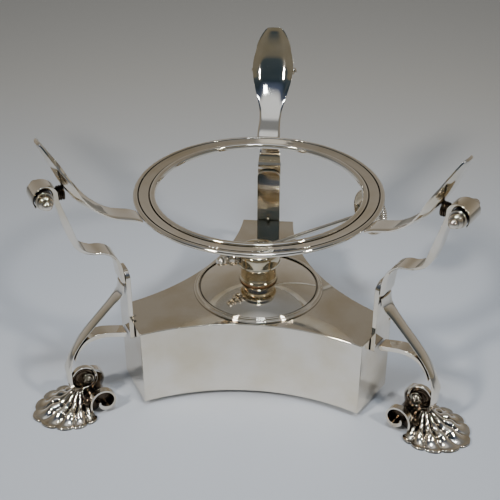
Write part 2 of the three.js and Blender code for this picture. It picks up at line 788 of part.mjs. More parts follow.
// Fan of ribs: each row of points runs from the hub to the scalloped rim.
function ribbedFan() {
  const ribSteps = ribRidgeShares.length;
  const rowCount = ribCount * ribSteps + 1;
  const spread = ribCount * ribSpacing;
  const points = [[footHubReach, 0, footHubHeight], [footHubReach, 0, 0]];
  const triangles = [];
  const ringCount = ribHeightShares.length - 1;
  const at = (row, ring) => (ring === 0 ? 0 : 2 + row * (ringCount + 1) + ring - 1);
  const footOf = (row) => 2 + row * (ringCount + 1) + ringCount;
  for (let row = 0; row < rowCount; row += 1) {
    const angle = row / (rowCount - 1) * spread - spread / 2;
    const ridge = ribRidgeShares[row % ribSteps];
    const fullLength = ribFrontLength - (ribFrontLength - ribSideLength) * Math.abs(angle) / quarterTurn;
    const length = fullLength - ribScallop * (1 - ridge);
    for (let ring = 1; ring <= ringCount; ring += 1) {
      const [outShare, heightShare] = ribHeightShares[ring];
      const place = polar(outShare * length, angle, [footHubReach, 0]);
      const grooveShare = (1 - ridge) * Math.min(1, heightShare / footGrooveShare);
      const groove = ribDepth * ribDepthShares[ring] * grooveShare;
      points.push([...place, heightShare * footHubHeight - groove]);
    }
    const rim = polar(length, angle, [footHubReach, 0]);
    points.push([...rim, 0]);
    if (row > 0) {
      triangles.push([at(row - 1, 1), at(row, 1), 0], [footOf(row - 1), 1, footOf(row)]);
      for (let ring = 1; ring < ringCount; ring += 1) {
        triangles.push([at(row - 1, ring), at(row - 1, ring + 1), at(row, ring)]);
        triangles.push([at(row, ring), at(row - 1, ring + 1), at(row, ring + 1)]);
      }
      triangles.push([at(row - 1, ringCount), footOf(row - 1), at(row, ringCount)]);
      triangles.push([at(row, ringCount), footOf(row - 1), footOf(row)]);
    }
  }
  [0, rowCount - 1].forEach((row) => {
    const edge = [1, footOf(row)];
    for (let ring = ringCount; ring >= 0; ring -= 1) {
      edge.push(at(row, ring));
    }
    for (let k = 1; k + 1 < edge.length; k += 1) {
      triangles.push(row === 0 ? [edge[0], edge[k], edge[k + 1]] : [edge[0], edge[k + 1], edge[k]]);
    }
  });
  return surface(points, triangles);
}

function shellFootPiece() {
  const profile = mirroredProfile(footScrollShares, footScrollRadius, footScrollHalfLength);
  const scroll = layAcross(turned(profile, footScrollSegments), footScrollReach, footScrollHeight);
  const saddleProfile = mirroredProfile(footSaddleShares, footSaddleRadius, footSaddleHalfLength);
  const saddle = layAcross(turned(saddleProfile, footScrollSegments), footSaddleReach, footSaddleHeight);
  const seatRadius = voluteRadius + fitGap;
  const seatHalfWidth = heartHalfWidth + fitGap;
  const seatRod = rod(seatRadius, -seatHalfWidth, seatHalfWidth, footScrollSegments * 2);
  const seat = layAcross(seatRod, voluteReach, voluteHeight);
  return cut(join(ribbedFan(), saddle, scroll), seat);
}

// Assembly.
function piece(name, geometry, material) {
  const mesh = new THREE.Mesh(toCreasedNormals(closed(geometry)), material.clone());
  mesh.name = name;
  return mesh;
}

const stand = new THREE.Group();
stand.position.z = -reservoirLift;
stand.add(
  piece('reservoir_wall', reservoirWallPiece(), silver),
  piece('reservoir_top', reservoirTopPiece(), silver),
  piece('reservoir_base', reservoirBasePiece(), silver),
  piece('lamp_dish', dishPiece(), silver),
  piece('reservoir_neck', neckPiece(), brass),
  piece('support_ring', ringPiece(), silver),
);

const burner = new THREE.Group();
burner.rotation.z = THREE.MathUtils.degToRad(spindleAzimuth);
stand.add(burner);
stand.add(
  piece('burner_washer', washerPiece(), cork),
  piece('burner_stem', stemPiece(), brass),
  piece('burner_collar', collarPiece(), gilt),
);
burner.add(
  piece('burner_bowl', bowlPiece(), gilt),
  piece('wick_tube', wickTubePiece(), brass),
  piece('wick', wickPiece(), cotton),
  piece('spindle_gland', glandPiece(), darkenedSilver),
  piece('wick_spindle', spindlePiece(), silver),
  piece('wick_pinion', pinionPiece(), brass),
  piece('spindle_knob', knobPiece(), darkenedSilver),
  piece('wick_wheel', wheelPiece(), silver),
);

legSides.forEach((side, i) => {
  const leg = new THREE.Group();
  leg.rotation.z = THREE.MathUtils.degToRad(quarterTurn + i * legSpacing);
  leg.add(
    piece(`arm_${side}`, armPiece(), silver),
    piece(`scroll_roll_${side}`, rollPiece(), darkenedSilver),
    piece(`lug_${side}`, lugPiece(), darkenedSilver),
    piece(`upper_leg_${side}`, upperLegPiece(), silver),
    piece(`leg_plate_${side}`, platePiece(), silver),
    piece(`lock_pin_${side}`, lockPinPiece(), darkenedSilver),
    piece(`lower_leg_${side}`, lowerLegPiece(), silver),
    piece(`leg_brace_${side}`, bracePiece(), silver),
    piece(`shell_foot_${side}`, shellFootPiece(), darkenedSilver),
  );
  stand.add(leg);
});

export default stand;
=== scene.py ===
"""Looks of a silver spirit burner stand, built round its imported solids.

Sizes are in millimetres. Heights are above the table, which lies below the
reservoir's underside, and a leg's reach is measured from the burner's axis.
"""

import logging
import math
from dataclasses import dataclass
from enum import Enum
from typing import Callable, Sequence

import bmesh
import bpy
from mathutils import Matrix, Vector

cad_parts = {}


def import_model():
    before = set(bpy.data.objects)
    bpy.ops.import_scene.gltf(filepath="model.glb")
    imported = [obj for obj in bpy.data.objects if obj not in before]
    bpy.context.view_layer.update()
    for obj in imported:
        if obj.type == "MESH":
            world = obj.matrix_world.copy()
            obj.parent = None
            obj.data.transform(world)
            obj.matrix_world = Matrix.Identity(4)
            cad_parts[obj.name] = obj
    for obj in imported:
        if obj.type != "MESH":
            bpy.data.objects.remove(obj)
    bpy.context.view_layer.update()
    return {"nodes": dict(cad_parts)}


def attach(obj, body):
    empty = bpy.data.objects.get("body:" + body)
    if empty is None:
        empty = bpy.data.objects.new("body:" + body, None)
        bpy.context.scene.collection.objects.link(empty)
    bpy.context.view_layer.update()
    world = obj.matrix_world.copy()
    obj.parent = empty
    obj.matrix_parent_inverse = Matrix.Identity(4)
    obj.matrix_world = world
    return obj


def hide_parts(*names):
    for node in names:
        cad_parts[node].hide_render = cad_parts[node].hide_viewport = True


Row = tuple[float, ...]
Rows = Sequence[Row]
Mesh = bmesh.types.BMesh
Vertex = bmesh.types.BMVert
Tree = bpy.types.NodeTree
Socket = bpy.types.NodeSocket

log = logging.getLogger("spirit_stand")

MILLIMETRE = 0.001
# Sizes that several pieces share. The scroll's centre is its reach and height at a leg's head.
FIT_GAP = 0.3
RESERVOIR_LIFT = 2.9
RESERVOIR_TOP = 44.1
FILLER_HOLE = 9.4
NECK_BORE = 7.8
SCROLL_CENTRE = (105.3, 121.2)
LEG_SPACING = 120

QUARTER_DEGREES = 90
QUARTER_TURN = math.radians(QUARTER_DEGREES)
MERGE_DISTANCE = 1e-4
SEAM_DISTANCE = 0.01
LEVEL_NORMAL = 0.9
EDGE_SEGMENTS = 3

# The Mix node's colour sockets, by number because its other kinds share their names.
MIX_FIRST, MIX_SECOND, MIX_COLOUR = 6, 7, 2

# Across a strap: the share of its face that stays flat, the power by which a domed face
# falls away, the steps of its back, and the middle and power of a bow.
FLAT_SHARE = 0.8
DOME_POWER = 1.9
BACK_STEPS = 8
BOW_MIDDLE = 0.3
BOW_POWER = 4


class Body(Enum):
    """The moving bodies that pieces ride on."""

    STAND = "stand"
    BURNER = "burner"
    WINDER = "winder"
    WICK = "wick"


class Side(Enum):
    """The three legs, by their azimuth in degrees."""

    REAR = 90
    LEFT = 210
    RIGHT = 330

    def own(self, name: str) -> str:
        """The name of this leg's own piece or node."""
        return f"{name}_{self.name.lower()}"


def table_frame(azimuth: float = 0.0) -> Matrix:
    """Takes millimetres above the table to metres in the part's frame.

    Args:
        azimuth: the turn about the burner's axis, in degrees.

    Returns:
        The matrix.
    """
    lowered = Matrix.Translation((0, 0, -RESERVOIR_LIFT))
    turn = Matrix.Rotation(math.radians(azimuth), 4, "Z")
    return Matrix.Scale(MILLIMETRE, 4) @ lowered @ turn


def laid(reach: float, height: float, about: str = "X") -> Matrix:
    """Lays a piece that is turned about Z down in a leg's frame.

    Args:
        reach: how far its origin is from the burner's axis.
        height: its origin's height.
        about: X lays it across the leg, and Y points it outwards.

    Returns:
        The matrix in the leg's frame.
    """
    return Matrix.Translation((reach, 0, height)) @ Matrix.Rotation(QUARTER_TURN, 4, about)


def polar(radius: float, degrees: float, centre: Row = (0, 0)) -> Row:
    """A point at a radius and an angle from a centre."""
    angle = math.radians(degrees)
    return centre[0] + radius * math.cos(angle), centre[1] + radius * math.sin(angle)


def smooth_rows(rows: Rows, steps: int) -> list[Row]:
    """Passes a smooth curve through rows of numbers.

    Args:
        rows: the rows to pass through.
        steps: the number of steps between two rows.

    Returns:
        The rows of the curve.
    """
    curve: list[Row] = []
    for i in range(len(rows) - 1):
        before, here = rows[max(i - 1, 0)], rows[i]
        after, beyond = rows[i + 1], rows[min(i + 2, len(rows) - 1)]
        for step in range(steps):
            t = step / steps
            made = []
            for a, b, c, d in zip(before, here, after, beyond):
                slope, next_slope = (c - a) / 2, (d - b) / 2
                bend = 3 * (c - b) - 2 * slope - next_slope
                twist = 2 * (b - c) + slope + next_slope
                made.append(b + t * (slope + t * (bend + t * twist)))
            curve.append(tuple(made))
    curve.append(tuple(rows[-1]))
    return curve


def read_along(table: Rows, share: float) -> float:
    """Reads a table of two columns, with straight lines between its rows.

    Args:
        table: the rows, in rising order of their first column.
        share: the value of the first column to read at.

    Returns:
        The second column's value there.
    """
    for (start, low), (end, high) in zip(table, table[1:]):
        if share <= end:
            return low + (high - low) * (share - start) / (end - start)
    return table[-1][1]


def scaled(shares: Rows, size: Row, start: Row = (0, 0)) -> list[Row]:
    """Draws rows of shares at real sizes.

    Args:
        shares: rows of two shares.
        size: what each share is a share of.
        start: the point that share zero stands for.

    Returns:
        The rows in millimetres.
    """
    return [(start[0] + x * size[0], start[1] + y * size[1]) for x, y in shares]


def both_ways(rows: Rows) -> list[Row]:
    """Runs a profile from its far end to its middle, and on to the same end mirrored."""
    return [*reversed(rows), *((radius, -along) for radius, along in rows if along > 0)]


def turned(rows: Rows, steps: int = 96) -> Mesh:
    """Turns a profile about Z.

    Args:
        rows: radius and height. The profile closes on itself, or on the axis
            where its ends lie there.
        steps: the number of steps round the axis.

    Returns:
        The closed mesh, in millimetres.
    """
    made = bmesh.new()
    points = [made.verts.new((radius, 0, height)) for radius, height in rows]
    for first, second in zip(points, points[1:]):
        made.edges.new((first, second))
    if rows[0][0] > 0 or rows[-1][0] > 0:
        made.edges.new((points[-1], points[0]))
    bmesh.ops.spin(
        made, geom=made.verts[:] + made.edges[:], cent=(0, 0, 0), axis=(0, 0, 1), angle=math.tau,
        steps=steps, use_merge=True,
    )
    bmesh.ops.remove_doubles(made, verts=made.verts, dist=MERGE_DISTANCE)
    bmesh.ops.recalc_face_normals(made, faces=made.faces)
    return made


def pipe(bore: float, outer: float, foot: float, top: float) -> Mesh:
    """Turns a plain pipe about Z, between two radii and two heights."""
    return turned([(bore, foot), (outer, foot), (outer, top), (bore, top)])


def fluted(made: Mesh, count: int, depth: float, span: Row, least: float) -> None:
    """Cuts flutes along a turned mesh.

    Args:
        made: the mesh, turned about Z.
        count: the number of flutes.
        depth: how deep they are.
        span: the heights between which they run.
        least: the radius within which nothing is cut.
    """
    for vertex in made.verts:
        radius = math.hypot(vertex.co.x, vertex.co.y)
        if span[0] < vertex.co.z < span[1] and radius > least:
            angle = math.atan2(vertex.co.y, vertex.co.x)
            share = 1 - depth * (0.5 - 0.5 * math.cos(count * angle)) / radius
            vertex.co.x *= share
            vertex.co.y *= share


def fluted_knob(
    shares: Rows, radius: float, length: float, start: float, flutes: int, cut: Row
) -> Mesh:
    """Turns a small knob with flutes near its start, which runs down from a height.

    Args:
        shares: shares of its radius and its length.
        radius: its radius.
        length: its length.
        start: the height that it runs down from.
        flutes: the number of flutes.
        cut: their depth, and the shares of the length between which they run.

    Returns:
        The closed mesh.
    """
    depth, near, far = cut
    rows = scaled(shares, (radius, -length), (0, start))
    made = turned([(0, start), *rows, (0, start - length)], 4 * flutes)
    fluted(made, flutes, depth, (start - far * length, start - near * length), 2 * depth)
    return made


def new_vertices(grown: dict) -> list[Vertex]:
    """Picks the vertices out of what an operator made."""
    return [item for item in grown["geom"] if isinstance(item, Vertex)]


def extend(made: Mesh, ring: list[Vertex]) -> list[Vertex]:
    """Extrudes a closed loop of vertices.

    Args:
        made: the mesh that holds the loop.
        ring: the loop's vertices in order.

    Returns:
        The new loop in the same order.
    """
    edges = [made.edges.get((ring[i - 1], ring[i])) for i in range(len(ring))]
    fresh = set(new_vertices(bmesh.ops.extrude_edge_only(made, edges=edges)))
    following = []
    for vertex in ring:
        others = [edge.other_vert(vertex) for edge in vertex.link_edges]
        following.append(next(other for other in others if other in fresh))
    return following


def raised(made: Mesh, height: float, walls_only: bool = False) -> Mesh:
    """Extrudes a flat mesh upwards.

    Args:
        made: the mesh.
        height: how far it is extruded.
        walls_only: leaves its faces out, so that only the walls of its outline are made.

    Returns:
        The same mesh.
    """
    if walls_only:
        bmesh.ops.delete(made, geom=made.faces[:], context="FACES_ONLY")
        grown = bmesh.ops.extrude_edge_only(made, edges=made.edges[:])
    else:
        grown = bmesh.ops.extrude_face_region(made, geom=made.faces[:])
    bmesh.ops.translate(made, verts=new_vertices(grown), vec=(0, 0, height))
    bmesh.ops.recalc_face_normals(made, faces=made.faces)
    return made


def flat_face(across: float) -> float:
    """How far a flat strap's face has fallen away at a share of its half width."""
    return max(0.0, (abs(across) - FLAT_SHARE) / (1 - FLAT_SHARE)) ** 2


def domed_face(across: float) -> float:
    """How far a domed strap's face has fallen away at a share of its half width."""
    return abs(across) ** DOME_POWER


def strap_rows(shares: Rows, start: Row, size: Row, crown: float) -> list[Row]:
    """Draws a strap's stations at real sizes.

    Args:
        shares: shares of reach, height, width and thickness.
        start: the reach and height that share zero stands for.
        size: what each share is a share of.
        crown: the crown of every station.

    Returns:
        The stations.
    """
    return [
        (start[0] + out * size[0], start[1] + up * size[1], width * size[2], thickness * size[3], crown)
        for out, up, width, thickness in shares
    ]


def strap(rows: Rows, face: Callable[[float], float] = flat_face, strips: int = 16) -> Mesh:
    """Sweeps a strap along stations in a leg's upright plane.

    Args:
        rows: reach, height, width, thickness and crown along one face, and the
            bow across it where it has one. The strap's body lies to the right
            of the travel, and the crown is the share of the thickness by which
            the face falls away at its edges.
        face: the form of that face across its width.
        strips: the number of strips across that face.

    Returns:
        The closed mesh, in millimetres.
    """
    front = [2 * i / strips - 1 for i in range(strips + 1)]
    back = [1 - 2 * i / BACK_STEPS for i in range(BACK_STEPS + 1)]
    made = bmesh.new()
    ring: list[Vertex] = []
    for i, (x, z, width, thickness, crown, *bow) in enumerate(rows):
        ahead, behind = rows[min(i + 1, len(rows) - 1)], rows[max(i - 1, 0)]
        travel = Vector((ahead[0] - behind[0], ahead[1] - behind[1])).normalized()
        places = []
        for across, depth in [(y, crown * face(y)) for y in front] + [(y, 1.0) for y in back]:
            inward = depth * thickness + sum(bow) * (BOW_MIDDLE - across**BOW_POWER)
            places.append((x + travel.y * inward, across * width / 2, z - travel.x * inward))
        if not ring:
            ring = [made.verts.new(place) for place in places]
            for first, second in zip(ring, ring[1:] + ring[:1]):
                made.edges.new((first, second))
            made.faces.new(ring)
        else:
            ring = extend(made, ring)
            for vertex, place in zip(ring, places):
                vertex.co = place
    made.faces.new(ring)
    bmesh.ops.recalc_face_normals(made, faces=made.faces)
    return made


def stadium(half_thickness: float, half_width: float, segments: int = 32) -> Mesh:
    """Draws a slot outline with round ends, long across X.

    Args:
        half_thickness: half of its thickness, and the radius of its ends.
        half_width: half of its length.
        segments: the number of points of both ends.

    Returns:
        The outline as one face.
    """
    made = bmesh.new()
    bmesh.ops.create_circle(made, segments=segments, radius=half_thickness, cap_ends=True)
    bmesh.ops.rotate(made, verts=made.verts, matrix=Matrix.Rotation(math.pi / segments, 3, "Z"))
    straight = half_width - half_thickness
    for vertex in made.verts:
        vertex.co.x += straight if vertex.co.x > 0 else -straight
    return made


def linear(code: str) -> Row:
    """Turns an sRGB colour into Blender's linear colour.

    Args:
        code: the colour's six hex digits.

    Returns:
        Red, green, blue and full opacity.
    """
    values = [int(code[i : i + 2], 16) / 255 for i in (0, 2, 4)]
    lit = [v / 12.92 if v <= 0.04045 else ((v + 0.055) / 1.055) ** 2.4 for v in values]
    return (*lit, 1.0)


def per_metre(millimetres: float) -> float:
    """The texture scale at which a pattern repeats about once in a length."""
    return 1 / (millimetres * MILLIMETRE)


def set_inputs(tree: Tree, node: bpy.types.Node, inputs: dict) -> None:
    """Links sockets and values to a node's inputs.

    Args:
        tree: the node tree.
        node: the node.
        inputs: values or sockets by the input's name or number.
    """
    for key, value in inputs.items():
        if isinstance(value, Socket):
            tree.links.new(value, node.inputs[key])
        else:
            node.inputs[key].default_value = value


def add_node(tree: Tree, kind: str, inputs: dict, **settings) -> bpy.types.Node:
    """Adds a node with its settings, values and links.

    Args:
        tree: the node tree.
        kind: the node's type name.
        inputs: values or sockets by the input's name or number.
        **settings: the node's own properties.

    Returns:
        The node.
    """
    node = tree.nodes.new(kind)
    for key, value in settings.items():
        setattr(node, key, value)
    set_inputs(tree, node, inputs)
    return node


def set_ramp(node: bpy.types.Node, stops: Sequence[tuple[float, str]]) -> Socket:
    """Sets a colour ramp's stops.

    Args:
        node: the colour ramp node.
        stops: place and hex colour of each stop.

    Returns:
        The ramp's colour.
    """
    ramp = node.color_ramp
    while len(ramp.elements) < len(stops):
        ramp.elements.new(0.5)
    for element, (place, code) in zip(ramp.elements, stops):
        element.position = place
        element.color = linear(code)
    return node.outputs["Color"]


@dataclass(frozen=True)
class Finish:
    """What a surface is made of and how it was worked."""

    name: str
    slot: str

    def material(self) -> bpy.types.Material:
        """Gives the finish's material, made the first time it is asked for.

        Returns:
            The material.
        """
        made = bpy.data.materials.get(self.name)
        if made is None:
            made = bpy.data.materials.new(self.name)
            made.use_nodes = True
            tree = made.node_tree
            place = add_node(tree, "ShaderNodeTexCoord", {}).outputs["Object"]
            set_inputs(tree, tree.nodes["Principled BSDF"], self.surface(tree, place))
        return made

    def surface(self, tree: Tree, place: Socket) -> dict:
        """Makes the finish's nodes.

        Args:
            tree: the material's node tree.
            place: the place on the object.

        Returns:
            The shader's values and sockets by the input's name.
        """
        raise NotImplementedError


@dataclass(frozen=True)
class MetalFinish(Finish):
    """A polished metal: clean and toned colour, recesses darkened by tarnish and painted shade, slow
    waves and fine wear.
    """

    clean: str
    toned: str
    recess_tarnish_and_shade: str
    smoothest: float
    roughest: float
    recess_depth: float = 2.0
    recess_start: float = 0.25
    recess_end: float = 0.75
    recess_samples: int = 12
    wave_length: float = 26.0
    wave_height: float = 0.05
    wear_spacing: float = 0.5
    wear_height: float = 0.0006
    tone_patch: float = 22.0
    smears_in_patch: float = 3.0
    tone_range: Row = (0.42, 0.72)
    smear_range: Row = (0.35, 0.75)

    def surface(self, tree: Tree, place: Socket) -> dict:
        """Makes soft patches of tone, recesses darkened by tarnish and painted shade, smears, slow waves
        and fine marks.

        Args:
            tree: the material's node tree.
            place: the place on the object.

        Returns:
            The shader's values and sockets by the input's name.
        """
        patterns = (
            (self.tone_patch, 4.0), (self.tone_patch / self.smears_in_patch, 6.0),
            (self.wave_length, 2.0), (self.wear_spacing, 3.0),
        )
        patches, smears, waves, marks = (
            add_node(
                tree, "ShaderNodeTexNoise", {"Vector": place, "Scale": per_metre(size), "Detail": detail}
            ).outputs["Fac"]
            for size, detail in patterns
        )
        toning = add_node(tree, "ShaderNodeValToRGB", {"Fac": patches})
        tone = set_ramp(toning, [(self.tone_range[0], self.clean), (self.tone_range[1], self.toned)])
        # Painted shade: ambient occlusion darkens the colour towards the recess colour in hollows and
        # between parts, where shade falls, and stands for tarnish there too.
        shade = add_node(
            tree, "ShaderNodeAmbientOcclusion", {"Distance": self.recess_depth * MILLIMETRE},
            samples=self.recess_samples, only_local=False,
        )
        depth = add_node(
            tree, "ShaderNodeMapRange",
            {"Value": shade.outputs["AO"], "From Min": self.recess_start, "From Max": self.recess_end},
        )
        colour = add_node(tree, "ShaderNodeMix", {
            "Factor": depth.outputs["Result"], MIX_FIRST: linear(self.recess_tarnish_and_shade), MIX_SECOND: tone,
        }, data_type="RGBA")
        polish = add_node(tree, "ShaderNodeMapRange", {
            "Value": smears, "From Min": self.smear_range[0], "From Max": self.smear_range[1],
            "To Min": self.smoothest, "To Max": self.roughest,
        })
        slow = add_node(
            tree, "ShaderNodeBump", {"Height": waves, "Distance": self.wave_height * MILLIMETRE}
        )
        fine = add_node(tree, "ShaderNodeBump", {
            "Height": marks, "Distance": self.wear_height * MILLIMETRE, "Normal": slow.outputs["Normal"],
        })
        return {
            "Metallic": 1.0, "Base Color": colour.outputs[MIX_COLOUR],
            "Roughness": polish.outputs["Result"], "Normal": fine.outputs["Normal"],
        }


@dataclass(frozen=True)
class CellFinish(Finish):
    """A matt surface of small cells, such as threads or grains, with darker gaps: painted shade between
    threads, and the pores' own colour between grains.
    """

    crest: str
    gap_pores_and_shade: str
    spacing: float
    relief: float
    roughness: float
    colour_range: Row
    unevenness: float = 1.0
    sheen: float = 0.0

    def surface(self, tree: Tree, place: Socket) -> dict:
        """Makes the cells' colour and relief.

        Args:
            tree: the material's node tree.
            place: the place on the object.

        Returns:
            The shader's values and sockets by the input's name.
        """
        cells = add_node(tree, "ShaderNodeTexVoronoi", {
            "Vector": place, "Scale": per_metre(self.spacing), "Randomness": self.unevenness,
        }).outputs["Distance"]
        ramp = add_node(tree, "ShaderNodeValToRGB", {"Fac": cells})
        colour = set_ramp(ramp, [(self.colour_range[0], self.crest), (self.colour_range[1], self.gap_pores_and_shade)])
        bump = add_node(
            tree, "ShaderNodeBump", {"Height": cells, "Distance": self.relief * MILLIMETRE}, invert=True
        )
        return {
            "Base Color": colour, "Normal": bump.outputs["Normal"], "Roughness": self.roughness,
            "Sheen Weight": self.sheen,
        }


@dataclass(frozen=True)
class PaperFinish(Finish):
    """Plain matt background paper, with painted light: cool near the camera and warmer further off."""

    near: str
    far: str
    blend: Row
    roughness: float

    def surface(self, tree: Tree, place: Socket) -> dict:
        """Makes the change of tone with the distance, which is painted light.

        Args:
            tree: the material's node tree.
            place: the place on the object.

        Returns:
            The shader's values and sockets by the input's name.
        """
        parts = add_node(tree, "ShaderNodeSeparateXYZ", {"Vector": place})
        start, end = (distance * MILLIMETRE for distance in self.blend)
        away = add_node(tree, "ShaderNodeMapRange", {
            "Value": parts.outputs["Y"], "From Min": start, "From Max": end,
        }, interpolation_type="SMOOTHSTEP")
        mixed = add_node(tree, "ShaderNodeMix", {
            "Factor": away.outputs["Result"], MIX_FIRST: linear(self.near), MIX_SECOND: linear(self.far),
        }, data_type="RGBA")
        return {"Base Color": mixed.outputs[MIX_COLOUR], "Roughness": self.roughness}


# Sterling silver, machine buffed and rubbed by years of cloth: nearly a mirror, warm in tone.
POLISHED = MetalFinish(
    "buffed_silver", "polished_silver", clean="EFE8DC", toned="E2D6BF", recess_tarnish_and_shade="2B1F16",
    smoothest=0.045, roughest=0.11,
)
# Cast and chased silver: bright on the ridges, brown-black oxide left in the hollows, which painted
# shade darkens further.
OXIDISED = MetalFinish(
    "chased_silver", "darkened_silver", clean="E9E1D4", toned="CDBFA6", recess_tarnish_and_shade="15100C",
    smoothest=0.08, roughest=0.16, recess_depth=3.0, recess_start=0.4, recess_end=0.92,
    wave_length=7.0, wave_height=0.012, tone_patch=8.0,
)
# Silver where no cloth reaches, as in the volutes: dark with oxide and with painted shade, near black in
# its recesses where painted shade falls, and lighter at its crests.
BLACKENED_AND_SHADED = MetalFinish(
    "blackened_shaded_silver", "darkened_silver", clean="6E6050", toned="43372B", recess_tarnish_and_shade="0C0907",
    smoothest=0.12, roughest=0.25, recess_depth=6.0, recess_start=0.4, recess_end=0.95,
    tone_patch=3.0,
)
# Old gilding over silver: a straw tone that has worn thin.
GILT = MetalFinish(
    "worn_gilt", "warm_gilt", clean="DFD4BA", toned="C4B18B", recess_tarnish_and_shade="3A2814", smoothest=0.06,
    roughest=0.14, wave_length=12.0, wave_height=0.02, tone_patch=9.0,
)
# Plain turned brass inside the burner: satin from the lathe.
BRASS = MetalFinish(
    "turned_brass", "burner_brass", clean="B59B6B", toned="8A724A", recess_tarnish_and_shade="33220F", smoothest=0.2,
    roughest=0.35, wave_length=12.0, wave_height=0.01, tone_patch=6.0,
)
# Bleached cotton, braided flat: matt and slightly fuzzy, with painted shade in the gaps between its
# threads.
WICK_COTTON = CellFinish(
    "bleached_cotton", "cotton", crest="D9CFB8", gap_pores_and_shade="8C7E66", spacing=0.5, relief=0.1,
    roughness=0.9, colour_range=(0.1, 0.75), unevenness=0.35, sheen=0.4,
)
# Pressed cork: brown grains with darker pores, matt.
CORK = CellFinish(
    "pressed_cork", "cork", crest="9A7750", gap_pores_and_shade="4A321F", spacing=0.6, relief=0.05, roughness=0.85,
    colour_range=(0.2, 0.8),
)
# Background paper under the stand, as in a photographer's sweep, with painted light running from cool
# near to warm far.
FLOOR_PAPER = PaperFinish(
    "floor_paper", "", near="C3C9D2", far="CDCAC3", blend=(20, 420), roughness=0.75
)


def add_mesh(made: Mesh, name: str, place: Matrix, finish: Finish) -> bpy.types.Object:
    """Makes an object of a mesh in millimetres, with its place in its mesh.

    Args:
        made: the mesh, which is used up.
        name: the object's name.
        place: takes the mesh to metres in the part's frame.
        finish: what it is finished in.

    Returns:
        The object.
    """
    made.transform(place)
    mesh = bpy.data.meshes.new(name)
    made.to_mesh(mesh)
    made.free()
    mesh.materials.append(finish.material())
    thing = bpy.data.objects.new(name, mesh)
    bpy.context.scene.collection.objects.link(thing)
    return thing


def present(
    made: Mesh,
    name: str,
    place: Matrix,
    finish: Finish,
    nodes: Sequence[str] = (),
    body: Body = Body.STAND,
    edge: float = 0.2,
    edge_angle: float = 38.0,
) -> bpy.types.Object:
    """Makes a finished piece from a mesh in millimetres.

    Args:
        made: the mesh, which is used up.
        name: the piece's name.
        place: takes the mesh to metres in the part's frame.
        finish: what the piece is finished in.
        nodes: the CAD nodes that it stands for.
        body: the body it rides on.
        edge: the rounding of its edges, or zero for none.
        edge_angle: the least angle that counts as an edge, in degrees.

    Returns:
        The piece.
    """
    piece = add_mesh(made, name, place, finish)
    faces = piece.data.polygons
    faces.foreach_set("use_smooth", [True] * len(faces))
    if edge > 0:
        rounding = piece.modifiers.new("rounded edges", "BEVEL")
        rounding.width = edge * MILLIMETRE
        rounding.segments = EDGE_SEGMENTS
        rounding.limit_method = "ANGLE"
        rounding.angle_limit = math.radians(edge_angle)
        rounding.harden_normals = True
    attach(piece, body.value)
    if nodes:
        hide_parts(*nodes)
    log.info("made %s with %d faces", name, len(faces))
    return piece


def present_on_leg(
    made: Mesh,
    side: Side,
    name: str,
    node: str,
    finish: Finish,
    local: Matrix = Matrix.Identity(4),
    edge: float = 0.16,
    edge_angle: float = 38.0,
) -> None:
    """Makes a finished piece of a leg.

    Args:
        made: the mesh, which is used up.
        side: the leg.
        name: the piece's name without the leg's.
        node: the CAD node that it stands for, without the leg's name, or nothing.
        finish: what the piece is finished in.
        local: its place in the leg's frame.
        edge: the rounding of its edges, or zero for none.
        edge_angle: the least angle that counts as an edge, in degrees.
    """
    nodes = [side.own(node)] if node else []
    place = table_frame(side.value) @ local
    present(made, side.own(name), place, finish, nodes, edge=edge, edge_angle=edge_angle)


def give_wall(piece: bpy.types.Object, wall: float, even: bool = False) -> None:
    """Gives a shell its wall, inwards, before its edges are rounded.

    Args:
        piece: the shell.
        wall: the wall's thickness.
        even: keeps the thickness even at sharp corners.
    """
    sheet = piece.modifiers.new("sheet", "SOLIDIFY")
    sheet.thickness = wall * MILLIMETRE
    sheet.offset = -1
    sheet.use_even_offset = even
    piece.modifiers.move(piece.modifiers.find("sheet"), 0)


def dress_node(nodes: dict, name: str, finish: Finish) -> None:
    """Gives a CAD node that stays in view its finish.

    Args:
        nodes: the frame's objects by node name.
        name: the node's name.
        finish: what it is finished in.
    """
    piece = nodes[name]
    piece.data.materials.clear()
    piece.data.materials.append(finish.material())
    log.info("dressed %s", name)


